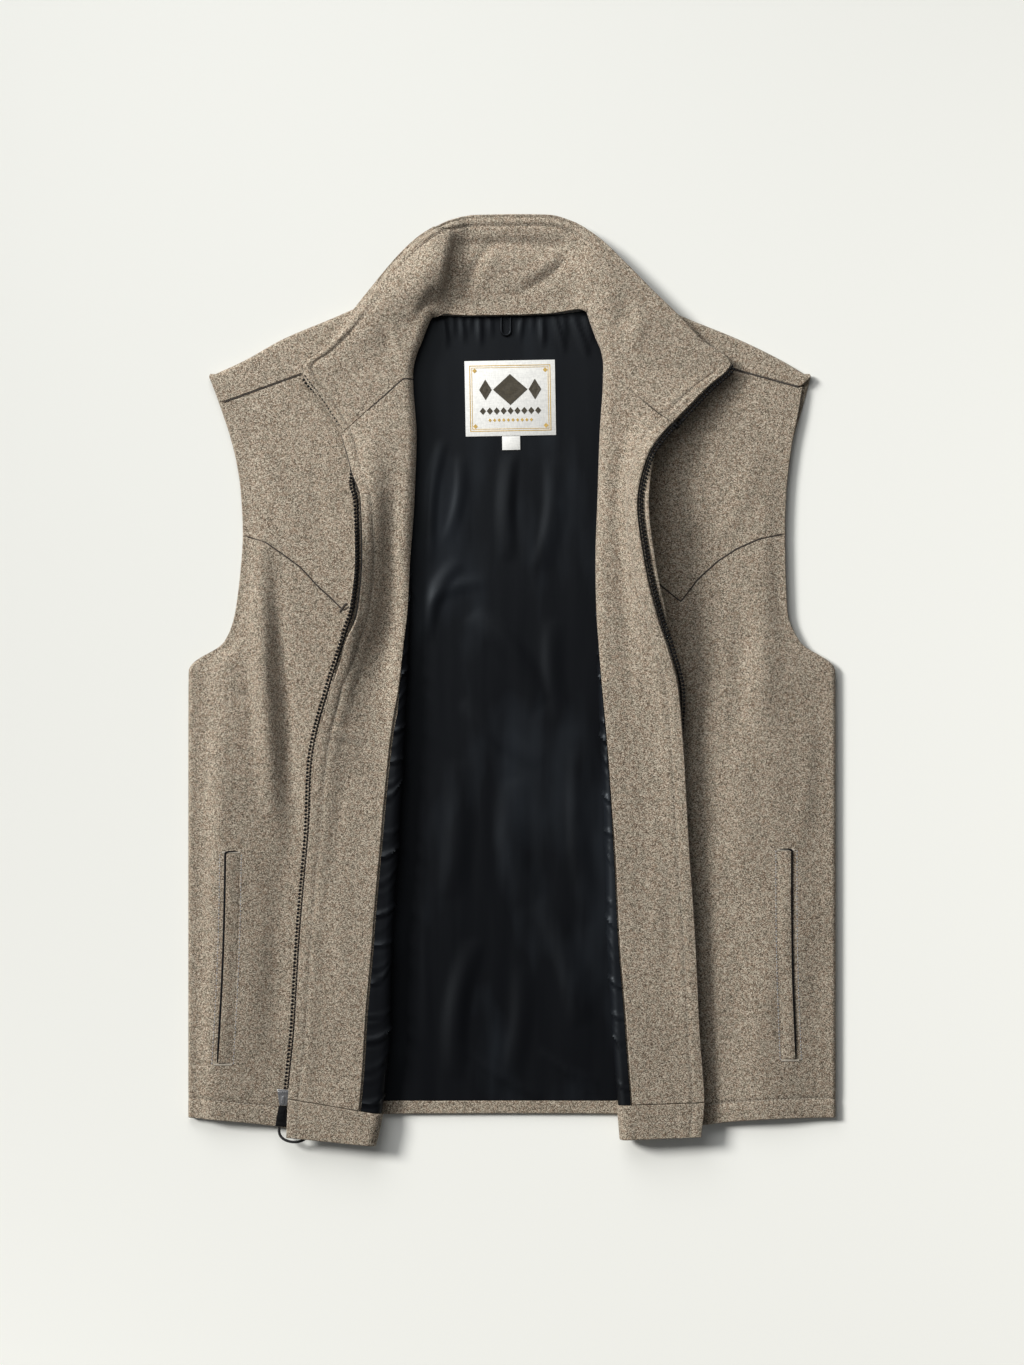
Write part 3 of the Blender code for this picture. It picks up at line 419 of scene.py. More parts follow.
def fold_height(side, x, y):
    """Height that the soft folds add to the lower layer at one place."""
    total = 0.0
    for row in FRONT_FOLDS[side]:
        fold = SimpleNamespace(**dict(zip(FOLD_COLUMNS, row)))
        run = Vector((fold.x1 - fold.x0, fold.y1 - fold.y0))
        offset = Vector((x - fold.x0, y - fold.y0))
        along = offset.dot(run) / run.length_squared
        across = abs(offset.x * run.y - offset.y * run.x) / run.length
        if 0 < along < 1 and across < fold.half_width:
            total += fold.height * sin(pi * along) * cos(pi / 2 * across / fold.half_width) ** 2
    return total


def yoke_dip(side, share, station):
    if station <= YOKE_STATION:
        weight = ease(1 - (YOKE_STATION - station) / YOKE_FADE_LOW)
    else:
        weight = ease(1 - (station - YOKE_STATION) / YOKE_FADE_HIGH)
    return weight * straight_between(YOKE_DIP[side], share)


def front_point(side, place, station):
    """A point on the wool's middle surface of one front.

    place runs -1..0 round the side edge, 0..1 over the lower layer, 1..2 round the fold and
    2..3 out to the facing's edge. station runs from the hem to the shoulder seam.
    """
    outline = OUTLINE_SECTIONS[side].at(station)
    form = FORM_SECTIONS[side].at(station)
    curl_out, _ = curl_offset(SIDE_CURL, SIDE_CURL, form.curl)
    flat_x = outline.side_x - HALF_WOOL * form.curl / 90 - curl_out
    centre_x = outline.fold_x + ROLL_SKIN + form.roll
    if place < 0:
        out, down = curl_offset(-place * SIDE_CURL, SIDE_CURL, form.curl)
        return front_vector(side, flat_x + out, outline.side_y, FRONT_LEVEL - down)
    if place <= 1:
        x = mix(flat_x, centre_x, place)
        bow = HEM_BOW[side] * ease(1 - (station - HEM_STATION) / HEM_BOW_FADE) * sin(pi * place)
        y = mix(outline.side_y, outline.fold_y, place) + bow - yoke_dip(side, place, station)
        calm = ease(4 * place) * ease(4 - 4 * place)
        z = mix(FRONT_LEVEL, form.low, ease(place)) + calm * fold_height(side, x, y)
        return front_vector(side, x, y, z)
    if place <= 2:
        angle = pi * (place - 1.5)
        x = centre_x - form.roll * cos(angle)
        return front_vector(side, x, outline.fold_y, form.low + form.roll * (1 + sin(angle)))
    share = place - 2
    high = form.low + 2 * form.roll
    dip = form.valley * sin(pi * clamp(share) ** VALLEY_LEAN[side]) ** 2
    z = high + (form.edge - high) * share * share - dip
    x = mix(centre_x, outline.edge_x, share)
    return front_vector(side, x, mix(outline.fold_y, outline.edge_y, share), z)


def front_vector(side, x, y, z):
    return Vector((SIDES[side] * x, y, z))


def shoulder_seam_y(x):
    """Where the front's shoulder seam lies at a distance across the garment."""
    side = "left" if x < 0 else "right"
    outer = front_point(side, 0.0, SHOULDER_STATION)
    inner = front_point(side, 1.0, SHOULDER_STATION)
    return mix(outer.y, inner.y, max((x - outer.x) / (inner.x - outer.x), 0.0))


def run_length(side, station):
    """Distance from the fold's top to the facing's edge, seen from above."""
    outline = OUTLINE_SECTIONS[side].at(station)
    form = FORM_SECTIONS[side].at(station)
    centre_x = outline.fold_x + ROLL_SKIN + form.roll
    return hypot(outline.edge_x - centre_x, outline.edge_y - outline.fold_y)


def edge_place(side, station, out):
    """The place on a section that lies a distance past the facing's edge."""
    return 3 + out / run_length(side, station)


def back_point(across, station):
    """A point on the back's outer face, which rests on z = 0.

    across runs -1..1 between the sides and up to 2 round them. station runs up the side edge,
    and past the shoulder tip round the shoulder fold and down to the front's seam.
    """
    flat_station = min(station, SHOULDER_TIP_Y)
    sides = ARMHOLE_SECTIONS.at(flat_station)
    inner = min(max(across, -1.0), 1.0)
    top = BACK_TOP_SECTIONS.at(inner)
    half = sides.left if inner < 0 else sides.right
    curl_length = BACK_FOLD * pi / 2
    curl_out, _ = curl_offset(curl_length, curl_length, sides.curl)
    x = inner * (half - curl_out)
    out, rise = curl_offset((abs(across) - abs(inner)) * curl_length, curl_length, sides.curl)
    x += out if across > 0 else -out
    on_shoulder = inner <= NECK_LEFT or inner >= NECK_RIGHT
    flat_top = top.top - BACK_FOLD if on_shoulder else top.top
    bottom = mix(HEM_CENTRE_Y, HEM_SIDE_Y, inner * inner)
    share = (flat_station - HEM_SIDE_Y) / (SHOULDER_TIP_Y - HEM_SIDE_Y)
    if station <= SHOULDER_TIP_Y:
        return Vector((x, mix(bottom, flat_top, share), rise))
    wrap = (station - SHOULDER_TIP_Y) / (WRAP_END - SHOULDER_TIP_Y)
    if wrap <= 0.5:
        angle = pi * (2 * wrap - 0.5)
        return Vector((x, flat_top + BACK_FOLD * cos(angle), BACK_FOLD * (1 + sin(angle))))
    forward = 2 * wrap - 1
    seam_x = x * (1 - SHOULDER_DRAW * forward)
    seam_y = shoulder_seam_y(seam_x) + 2 * SEAM_GAP
    return Vector((seam_x, mix(flat_top, seam_y, forward), 2 * BACK_FOLD))


def collar_point(place, station):
    """A point on the outer collar's middle surface.

    place runs 0..1 round the neck fold and 1..2 out to the free edge. station is the row of
    the collar's table.
    """
    row = COLLAR_SECTIONS.at(station)
    aim = Vector((cos(radians(row.aim)), sin(radians(row.aim))))
    fold = Vector((row.fold_x, row.fold_y))
    start_angle = pi / 2 - pi * row.turn
    if place <= 1:
        angle = mix(start_angle, pi / 2, place)
        lead = row.roll * (1 - cos(angle)) - COLLAR_LEAD * (1 - row.turn) * (1 - place)
        spot = fold + aim * (ROLL_SKIN * row.turn + lead)
        return Vector((spot.x, spot.y, row.low + row.roll * (1 + sin(angle))))
    share = place - 1
    start = fold + aim * (ROLL_SKIN * row.turn + row.roll)
    top = Vector((row.top_x, row.top_y))
    spot = start.lerp(top, share)
    high = row.low + 2 * row.roll
    z = high + (row.top_z - high) * share * share + row.crest * sin(pi * clamp(share)) ** 2
    return Vector((spot.x, spot.y, z))


# Soft folds. Each runs from one end to the other along a line that bends aside, with its width
# on the right hand and on the left hand of someone who walks along it, and its height. A trough
# has a negative height.
LOWER_FOLDS = {
    "left": (
        (-240, 210, 0, -268, -560, 20, 96, 7),
        (-190, 70, 0, -202, -460, 58, 26, -3.4),
        (-220, 132, 4, -206, -150, 11, 15, 4),
        (-204, 112, 3, -186, -150, 13, 13, -3.4),
        (-196, -140, 4, -205, -330, 16, 16, -1.6),
        (-222, 215, 4, -178, 120, 14, 14, 1.8),
        (-172, 196, 3, -160, 112, 10, 10, -1.4),
        (-262, -30, 3, -252, -130, 12, 12, 1.4),
    ),
    "right": (
        (226, 210, 0, 222, -560, 52, 50, 5),
        (198, 92, -4, 190, -80, 13, 13, -1.8),
        (232, -200, 3, 214, -352, 18, 18, 1.2),
        (196, -230, 0, 190, -350, 14, 14, -1),
        (214, 206, -4, 176, 112, 14, 14, 1.5),
        (258, -20, -3, 248, -150, 12, 12, 1.4),
    ),
}
STRIP_FOLDS = {
    "left": (
        (-120, 232, 0, -116, 104, 16, 36, 4.5),
        (-87, 190, 0, -93, -20, 38, 14, -4.4),
        (-134, 190, -4, -150, -60, 6, 6, 1.5),
        (-158, -50, 2, -120, -58, 4, 4, -1.8),
        (-158, -43, 2, -126, -48, 4.5, 4.5, 1.1),
        (-140, -70, 3, -150, -150, 8, 8, -1.1),
        (-150, -180, 3, -140, -300, 12, 12, 0.9),
        (-118, 205, 2, -100, 168, 9, 9, -1.4),
    ),
    "right": (
        (98, 220, 6, 108, -30, 12, 12, -1.4),
        (120, 226, 0, 122, -40, 24, 34, 4.5),
        (116, 40, 3, 124, -40, 9, 9, -1.3),
        (128, -120, -3, 120, -260, 12, 12, 1),
        (98, -5, 3, 118, -12, 7, 7, -0.9),
    ),
}
COLLAR_FOLDS = (
    (-54, 388, 2, -67, 300, 34, 1.6, 8),
    (-186, 262, 6, -52, 408, 36, 12, 6),
    (-50, 388, 2, -61, 308, 2, 15, -3.2),
    (-66, 376, -4, 66, 374, 18, 9, -4.5),
    (-13, 384, 2, -42, 336, 8, 9, -2.3),
    (-8, 376, 2, -32, 336, 8, 8, 1.6),
    (54, 370, -3, -10, 326, 9, 10, -2.6),
    (56, 382, -3, 4, 344, 9, 9, 2),
    (48, 388, 2, 42, 352, 6, 8, -1.4),
    (-112, 322, 5, -96, 270, 9, 9, -1.6),
    (96, 336, -5, 88, 300, 13, 13, -2),
    (118, 318, 4, 104, 280, 10, 10, 1.4),
)
LINING_FOLDS = (
    (-60, 208, 5, -70, 104, 9, 7, 1.7),
    (-46, 196, -5, -58, 120, 6, 9, 1.2),
    (0, 198, 3, -2, 104, 13, 9, 1.9),
    (34, 192, -6, 22, 96, 10, 16, 1.5),
    (-46, 104, 7, -74, 36, 12, 9, 2.1),
    (-72, 66, -6, -22, 84, 7, 9, 1.1),
    (-34, 58, -8, 26, -22, 20, 15, 2.7),
    (34, 52, 5, 44, -40, 10, 14, 1.5),
    (-88, 10, 3, -80, -320, 12, 15, 2.6),
    (-44, -20, 5, 24, -74, 10, 14, 1.6),
    (-50, -70, -6, -56, -190, 16, 18, 1.7),
    (0, -86, 7, 14, -196, 18, 20, 2.3),
    (56, -60, 5, 66, -210, 11, 15, 1.6),
    (24, -190, -6, 60, -300, 15, 17, 2.3),
    (-32, -226, 7, -48, -346, 16, 13, 2.5),
    (8, -250, -4, -4, -352, 12, 15, 1.4),
    (-44, -318, 4, 26, -364, 5, 7, 1.3),
    (24, -322, 4, 78, -352, 5, 7, 1.5),
    (44, -340, 3, 84, -362, 4, 5, 1.1),
)
# Gathers of the satin under the neck seam: x, run down, sideways drift, half width and height
NECK_GATHERS = (
    (-61, 26, 5, 3.6, 1.5),
    (-52, 15, 2, 2.8, 1),
    (-45, 22, 4, 3.4, 1.5),
    (-36, 13, -1, 2.6, 0.9),
    (-29, 24, 2, 3.6, 1.5),
    (-20, 17, 3, 2.8, 1.2),
    (9, 19, -2, 3, 1.4),
    (17, 13, 1, 2.6, 0.9),
    (25, 25, 3, 3.6, 1.6),
    (35, 30, 12, 3.4, 1.7),
    (43, 18, 5, 2.8, 1.1),
    (51, 34, 16, 4, 2),
    (62, 22, 9, 3.4, 1.4),
)
NECK_GATHER_TOP = 317.0
SATIN_CALM_FROM = 68.0
SATIN_CALM_FADE = 14.0
LABEL_CALM_FADE = 7.0
LINING_TOP = SHOULDER_TIP_Y - 6
LINING_LIFT_FROM = 235.0
LINING_LIFT = 5.6
ZIP_HIDDEN_FROM = 172.0
ZIP_FADE = 36.0
ZIP_LOW_BELOW = -40.0
ZIP_LOW_FADE = 40.0

# Grids


def graded(start, end, step, fine=(0.0, 0.8, 2.0)):
    """Distances from start to end, closer together at both ends."""
    length = abs(end - start)
    count = max(round((length - 2 * fine[-1]) / step), 1)
    inner = np.linspace(fine[-1], length - fine[-1], count + 1)
    marks = sorted(set([*fine, *inner, *(length - mark for mark in fine)]))
    return [start + (end - start) * mark / length for mark in marks]


def with_marks(values, marks):
    """Add grid lines on and beside some values, for the stitch lines that run there."""
    half = STITCH_HALF_WIDTH
    for mark in marks:
        values = [value for value in values if abs(value - mark) > half]
        values += [mark - half, mark - half / 2, mark, mark + half / 2, mark + half]
    return sorted(values)


def ease_array(value):
    value = np.clip(value, 0, 1)
    return value * value * (3 - 2 * value)


def groove(distance, width):
    """A smooth dent's share of its depth at a distance from its middle."""
    return np.exp(-(distance / width) ** 2)


def resampled(values, count):
    """The same run of values read at another number of even steps."""
    return list(np.interp(np.linspace(0, len(values) - 1, count), range(len(values)), values))


def upward(count):
    return np.tile(UP, (count, 1))


def ring_faces(rings, sides):
    """Four-sided faces between closed rings of points that follow each other."""
    return [(ring * sides + index, ring * sides + (index + 1) % sides,
             (ring + 1) * sides + (index + 1) % sides, (ring + 1) * sides + index)
            for ring in range(rings - 1) for index in range(sides)]


def normals_of(points, turn):
    across = np.gradient(points, axis=1)
    along = np.gradient(points, axis=0)
    normals = np.cross(across, along) * turn
    return normals / np.maximum(np.linalg.norm(normals, axis=2, keepdims=True), 1e-9)


def bump_profile(distance, half_width):
    return np.where(distance < half_width, np.cos(pi / 2 * distance / half_width) ** 2, 0.0)


def relief(points, folds):
    """Height that a table of soft folds gives to points."""
    total = np.zeros(points.shape[:-1])
    for x0, y0, bend, x1, y1, right_width, left_width, height in folds:
        run = np.array((x1 - x0, y1 - y0))
        length = np.hypot(*run)
        offset = points[..., :2] - np.array((x0, y0))
        along = np.clip(offset @ run / length ** 2, 0, 1)
        across = (offset[..., 0] * run[1] - offset[..., 1] * run[0]) / length
        across = across - bend * np.sin(pi * along)
        width = np.where(across > 0, right_width, left_width)
        total += height * np.sin(pi * along) ** 0.7 * bump_profile(np.abs(across), width)
    return total


def front_grid(side, stations, places):
    """Points of one front's middle surface, with its folds, and normals to the inside.

    places holds a row of places for each station, all rows as long as each other.
    """
    places = np.array(places)
    points = np.array([[front_point(side, place, station) for place in row]
                       for row, station in zip(places, stations)])
    lower = ease_array(9 * places) * ease_array(6 - 6 * places)
    upper = ease_array(places - 1.0)
    points[..., 2] += lower * relief(points, LOWER_FOLDS[side])
    points[..., 2] += upper * relief(points, STRIP_FOLDS[side])
    return points, normals_of(points, SIDES[side])


def back_grid(stations, acrosses):
    points = np.array([[back_point(across, station) for across in acrosses]
                       for station in stations])
    return points, normals_of(points, 1)


def collar_grid(stations, places):
    points = np.array([[collar_point(place, station) for place in places]
                       for station in stations])
    points[..., 2] += ease_array(4 * (np.array(places) - 1.05)) * relief(points, COLLAR_FOLDS)
    return points, normals_of(points, -1)


def front_spot(side, station, near, place, half=0.5):
    """A point of one front and its normal. near is a place beside it, for the normal."""
    points, normals = front_grid(side, [station - half, station + half], [[near, place]] * 2)
    return points.mean(0)[1], normals[0, 1]


def collar_spot(station, near, place, half):
    points, normals = collar_grid([station - half, station + half], [near, place])
    return points.mean(0)[1], normals[0, 1]


# Meshes


def add_mesh(name, vertices, faces, finish, sharp=50):
    data = bpy.data.meshes.new(name)
    data.from_pydata((np.asarray(vertices) * MM).tolist(), [], faces)
    data.validate()
    data.shade_smooth()
    data.set_sharp_from_angle(angle=radians(sharp))
    data.materials.append(finish)
    thing = bpy.data.objects.new(name, data)
    bpy.context.scene.collection.objects.link(thing)
    return thing


def shell(name, grid, low, high, finish, keep=None):
    """A closed cloth shell between two distances from a surface, with rounded edges.

    low and high are one distance or one for each grid point. keep says which cells are cloth.
    """
    points, normals = grid
    shape = points.shape[:2]
    kept = np.ones((shape[0] - 1, shape[1] - 1), bool) if keep is None else keep
    low = np.broadcast_to(low, shape).reshape(-1, 1)
    high = np.broadcast_to(high, shape).reshape(-1, 1)
    flat = points.reshape(-1, 3)
    out = normals.reshape(-1, 3)
    index = np.arange(len(flat)).reshape(shape)
    rows, columns = np.nonzero(kept)
    rings = np.stack((index[rows, columns], index[rows, columns + 1],
                      index[rows + 1, columns + 1], index[rows + 1, columns]), 1)
    first = rings[len(rings) // 2]
    face_out = np.cross(flat[first[1]] - flat[first[0]], flat[first[2]] - flat[first[1]])
    if face_out @ out[first[0]] < 0:
        rings = rings[:, ::-1]
    edges = {(int(a), int(b)) for ring in rings for a, b in zip(ring, np.roll(ring, -1))}
    border = [(a, b) for a, b in edges if (b, a) not in edges]
    border.sort()
    inward = np.zeros_like(flat)
    for a, b in border:
        side = np.cross(out[a], flat[b] - flat[a])
        side /= max(np.linalg.norm(side), 1e-9)
        inward[a] += side
        inward[b] += side
    length = np.linalg.norm(inward, axis=1, keepdims=True)
    inward = inward / np.maximum(length, 1e-9) * EDGE_ROUNDING * (high - low)
    vertices = np.vstack((flat + out * low + inward, flat + out * high + inward,
                          flat + out * (low + high) / 2))
    total = len(flat)
    faces = [tuple(ring) for ring in (rings + total).tolist()]
    faces += [tuple(ring) for ring in rings[:, ::-1].tolist()]
    for a, b in border:
        faces.append((b, a, a + 2 * total, b + 2 * total))
        faces.append((b + 2 * total, a + 2 * total, a + total, b + total))
    used = sorted({corner for face in faces for corner in face})
    place = {corner: position for position, corner in enumerate(used)}
    faces = [tuple(place[corner] for corner in face) for face in faces]
    return add_mesh(name, vertices[used], faces, finish)


def along_line(points, normals, pitch, offset=0.0):
    """Points every pitch along a line, with the direction and the normal there."""
    steps = np.linalg.norm(np.diff(points, axis=0), axis=1)
    marks = np.concatenate(([0.0], np.cumsum(steps)))
    wanted = np.arange(offset, marks[-1], pitch)
    spots = np.stack([np.interp(wanted, marks, points[:, axis]) for axis in range(3)], 1)
    ups = np.stack([np.interp(wanted, marks, normals[:, axis]) for axis in range(3)], 1)
    ahead = np.gradient(spots, axis=0)
    ahead /= np.linalg.norm(ahead, axis=1, keepdims=True)
    ups -= (ups * ahead).sum(1, keepdims=True) * ahead
    ups /= np.linalg.norm(ups, axis=1, keepdims=True)
    return spots, ahead, ups


def copies(name, shape, spots, ahead, ups, finish):
    """One mesh of a small form at many places. Its own axes are ahead, sideways and up."""
    vertices, faces = shape
    vertices = np.asarray(vertices)
    side = np.cross(ups, ahead)
    placed = (spots[:, None] + vertices[None, :, :1] * ahead[:, None]
              + vertices[None, :, 1:2] * side[:, None] + vertices[None, :, 2:] * ups[:, None])
    count = len(vertices)
    rings = [tuple(corner + index * count for corner in face)
             for index in range(len(spots)) for face in faces]
    return add_mesh(name, placed.reshape(-1, 3), rings, finish)


def stitch_shape(length, radius):
    """One stitch: a short round thread whose ends dip into the cloth."""
    sides = 6
    vertices = []
    for along, size, drop in ((-0.5, 0.45, -1.3), (-0.36, 0.9, -0.25), (0.0, 1.0, 0.0),
                              (0.36, 0.9, -0.25), (0.5, 0.45, -1.3)):
        for index in range(sides):
            angle = 2 * pi * index / sides
            vertices.append((along * length, size * radius * cos(angle),
                             size * radius * sin(angle) + drop * radius))
    caps = [tuple(range(sides))[::-1], tuple(range(4 * sides, 5 * sides))]
    return vertices, caps + ring_faces(5, sides)


def taken_from(build):
    """The vertices and faces of a bmesh, which is freed."""
    build.verts.index_update()
    vertices = [tuple(vertex.co) for vertex in build.verts]
    faces = [tuple(vertex.index for vertex in face.verts) for face in build.faces]
    build.free()
    return vertices, faces


def block_shape(length, width, height, bevel):
    build = bmesh.new()
    bmesh.ops.create_cube(build, size=1.0)
    bmesh.ops.scale(build, vec=(length, width, height), verts=build.verts)
    bmesh.ops.bevel(build, geom=build.edges[:], offset=bevel, segments=1, affect="EDGES")
    return taken_from(build)


def joined(name, parts):
    """Join objects into one piece that keeps its first object's name and materials."""
    with bpy.context.temp_override(active_object=parts[0], selected_editable_objects=parts):
        bpy.ops.object.join()
    parts[0].name = name
    return parts[0]


# Finishes


class Graph:
    """A material's node tree, with short calls for adding and joining nodes."""

    def __init__(self, name, colour, roughness, metallic=0.0):
        self.material = bpy.data.materials.new(name)
        self.material.use_nodes = True
        self.material.diffuse_color = (*colour, 1)
        self.tree = self.material.node_tree
        self.shader = self.tree.nodes["Principled BSDF"]
        self.set("Base Color", (*colour, 1))
        self.set("Roughness", roughness)
        self.set("Metallic", metallic)

    def set(self, socket, value):
        self.shader.inputs[socket].default_value = value

    def add(self, kind, inputs=None, **settings):
        node = self.tree.nodes.new(kind)
        for name, value in settings.items():
            setattr(node, name, value)
        for name, value in (inputs or {}).items():
            if isinstance(value, bpy.types.NodeSocket):
                self.tree.links.new(value, node.inputs[name])
            else:
                node.inputs[name].default_value = value
        return node

    def join(self, output, socket):
        self.tree.links.new(output, self.shader.inputs[socket])

    def place(self, scale=(1, 1, 1), turn=0.0):
        """The object's own coordinates, stretched and turned about the vertical."""
        coordinates = self.add("ShaderNodeTexCoord").outputs["Object"]
        if scale == (1, 1, 1) and turn == 0.0:
            return coordinates
        rotation = (0, 0, radians(turn))
        return self.add("ShaderNodeMapping", {"Vector": coordinates, "Scale": scale,
                                              "Rotation": rotation}).outputs["Vector"]

    def noise(self, size, detail=2.0, roughness=0.5, vector=None):
        """Noise with features of about a size in millimetres."""
        inputs = {"Vector": vector or self.place(), "Scale": 0.6 / (size * MM),
                  "Detail": detail, "Roughness": roughness}
        return self.add("ShaderNodeTexNoise", inputs).outputs["Fac"]

    def grain(self, size):
        """A random value for each small cell of the surface."""
        cells = self.add("ShaderNodeTexVoronoi", {"Vector": self.place(), "Scale": 1 / (size * MM)})
        parts = self.add("ShaderNodeSeparateColor", {"Color": cells.outputs["Color"]})
        return parts.outputs["Red"]

    def spread(self, value, low, high, to_low=0.0, to_high=1.0):
        inputs = {"Value": value, "From Min": low, "From Max": high, "To Min": to_low,
                  "To Max": to_high}
        return self.add("ShaderNodeMapRange", inputs).outputs["Result"]

    def mixed(self, share, first, second, blend="MIX"):
        node = self.add("ShaderNodeMix", data_type="RGBA", blend_type=blend)
        sockets = {"share": node.inputs["Factor"], "first": node.inputs[6],
                   "second": node.inputs[7]}
        for key, value in (("share", share), ("first", first), ("second", second)):
            if isinstance(value, bpy.types.NodeSocket):
                self.tree.links.new(value, sockets[key])
            else:
                sockets[key].default_value = value if key == "share" else (*value, 1)
        return node.outputs[2]

    def grey(self, value):
        shades = {"Red": value, "Green": value, "Blue": value}
        return self.add("ShaderNodeCombineColor", shades).outputs[0]

    def maths(self, operation, first, second):
        return self.add("ShaderNodeMath", {0: first, 1: second}, operation=operation).outputs[0]

    def bump(self, height, strength, distance):
        inputs = {"Height": height, "Strength": strength, "Distance": distance * MM}
        self.join(self.add("ShaderNodeBump", inputs).outputs["Normal"], "Normal")


WOOL_BASE = (0.258, 0.203, 0.138)
WOOL_CREAM = (0.56, 0.495, 0.40)
WOOL_DARK = (0.055, 0.041, 0.029)
WOOL_RED = (0.215, 0.148, 0.107)
WOOL_GREY = (0.205, 0.188, 0.148)


def make_wool(name):
    """Heathered melton: short fibres of cream, brown and grey, felted in every direction."""
    graph = Graph(name, WOOL_BASE, 0.95)
    hue = graph.spread(graph.noise(2.4, 2.0), 0.42, 0.58)
    colour = graph.mixed(0.55, WOOL_BASE, graph.mixed(hue, WOOL_RED, WOOL_GREY))
    fibres = []
    for turn, stretch in ((25, 2.4), (-40, 2.0), (80, 2.2)):
        vector = graph.place((1.0 / stretch, 1.0, 1.0), turn)
        fibres.append(graph.noise(0.44, 1.5, 0.6, vector))
    grain = graph.grain(0.62)
    light = graph.spread(graph.maths("ADD", fibres[0], grain), 1.0, 1.45)
    dark = graph.spread(graph.maths("SUBTRACT", fibres[2], grain), 0.05, 0.40)
    blotch = graph.spread(graph.noise(2.2, 2.5, 0.6), 0.36, 0.64)
    colour = graph.mixed(graph.maths("MULTIPLY", dark, 0.92), colour, WOOL_DARK)
    colour = graph.mixed(graph.maths("MULTIPLY", light, 0.85), colour, WOOL_CREAM)
    cloud = graph.spread(graph.noise(26.0, 3.0), 0.3, 0.7, 0.95, 1.05)
    shade = graph.maths("MULTIPLY", graph.spread(blotch, 0.0, 1.0, 0.94, 1.06), cloud)
    colour = graph.mixed(1.0, colour, graph.grey(shade), "MULTIPLY")
    graph.join(colour, "Base Color")
    height = graph.maths("ADD", graph.maths("ADD", fibres[0], fibres[1]), fibres[2])
    graph.bump(height, 0.6, 0.5)
    graph.set("Sheen Weight", 0.10)
    graph.set("Sheen Roughness", 0.6)
    graph.set("Specular IOR Level", 0.12)
    return graph.material


def make_satin(name):
    graph = Graph(name, (0.0045, 0.005, 0.007), 0.45)
    threads = graph.noise(0.35, 1.0, 0.5, graph.place((1.0, 0.12, 1.0)))
    bands = graph.noise(9.0, 2.0, 0.5, graph.place((1.0, 0.10, 1.0)))
    # Painted sheen: broad stretched patches and thin bands lighten the satin's base colour; the bands
    # also vary its real roughness.
    painted_sheen_patches = graph.noise(42.0, 3.0, 0.55, graph.place((1.0, 0.42, 1.0), 12))
    shade = graph.spread(graph.maths("ADD", painted_sheen_patches, graph.maths("MULTIPLY", bands, 0.2)), 0.59, 0.80)
    # Painted sheen mask: near-black where it is low, lighter blue-grey where it is high.
    graph.join(graph.mixed(shade, (0.0022, 0.0024, 0.0034), (0.0090, 0.0108, 0.0138)), "Base Color")
    graph.join(graph.spread(bands, 0.3, 0.7, 0.40, 0.50), "Roughness")
    graph.bump(threads, 0.18, 0.12)
    graph.set("Specular IOR Level", 0.20)
    graph.set("Specular Tint", (0.84, 0.93, 1.0, 1.0))
    return graph.material


def make_tape(name):
    graph = Graph(name, (0.012, 0.012, 0.013), 0.85)
    weave = graph.add("ShaderNodeTexWave", {"Vector": graph.place(), "Scale": 420.0,
                                            "Distortion": 1.0}).outputs["Fac"]
    graph.join(graph.mixed(weave, (0.008, 0.008, 0.009), (0.022, 0.022, 0.024)), "Base Color")
    graph.bump(weave, 0.4, 0.2)
    return graph.material


def make_plastic(name, colour, roughness):
    graph = Graph(name, colour, roughness)
    graph.set("Specular IOR Level", 0.15)
    wear = graph.spread(graph.noise(1.2, 2.0), 0.35, 0.7, roughness - 0.08, roughness + 0.14)
    graph.join(wear, "Roughness")
    graph.bump(graph.noise(0.4, 1.0), 0.1, 0.05)
    return graph.material


def make_metal(name):
    graph = Graph(name, (0.60, 0.60, 0.61), 0.28, 1.0)
    scratches = graph.noise(0.3, 2.0, 0.5, graph.place((1.0, 0.1, 1.0), 20))
    graph.join(graph.spread(scratches, 0.3, 0.7, 0.20, 0.42), "Roughness")
    graph.bump(scratches, 0.12, 0.04)
    return graph.material


def make_thread(name, colour):
    graph = Graph(name, colour, 0.8)
    twist = graph.noise(0.35, 1.0)
    darker = tuple(channel * 0.7 for channel in colour)
    graph.join(graph.mixed(graph.spread(twist, 0.35, 0.65), darker, colour), "Base Color")
    graph.bump(twist, 0.4, 0.12)
    graph.set("Sheen Weight", 0.1)
    return graph.material


def make_weave(name, colour, other, gloss=0.7):
    """A label's tight damask weave: fine rows of thread across and along."""
    graph = Graph(name, colour, gloss)
    across = graph.noise(0.45, 1.0, 0.5, graph.place((0.15, 1.0, 1.0)))
    along = graph.noise(0.45, 1.0, 0.5, graph.place((1.0, 0.2, 1.0)))
    weave = graph.maths("ADD", across, along)
    graph.join(graph.mixed(graph.spread(weave, 0.8, 1.2), other, colour), "Base Color")
    graph.bump(weave, 0.5, 0.15)
    graph.set("Sheen Weight", 0.1)
    return graph.material


# Pieces

FINE = 4.0
COARSE = 8.0
LOWER_COLUMNS = graded(0.0, 1.0, FINE / 180, (0.0, 0.005, 0.012))[:-1]
ROLL_COLUMNS = list(np.linspace(1.0, 2.0, 11))
SIDE_COLUMNS = list(np.linspace(SIDE_END_FRONT, 0.0, 5)[:-1])
HEM_STITCH = HEM_STATION + HEM_STITCH_UP
FRONT_STATIONS = with_marks(graded(HEM_STATION, YOKE_STATION - 0.12, FINE), [HEM_STITCH])
YOKE_STATIONS = graded(YOKE_STATION + 0.12, COLLAR_STATION, FINE)
YOKE_STATIONS += graded(COLLAR_STATION, SHOULDER_STATION, FINE)[1:]
STRIP_STATIONS = graded(HEM_SEAM_STATION + SEAM_GAP, COLLAR_STATION, FINE)


def piece(name, thing):
    """Let a thing stand for the solid of its name and ride on the body."""
    thing.name = name
    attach(thing, "root")
    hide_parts(name)
    return thing


def extra(thing):
    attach(thing, "root")
    return thing


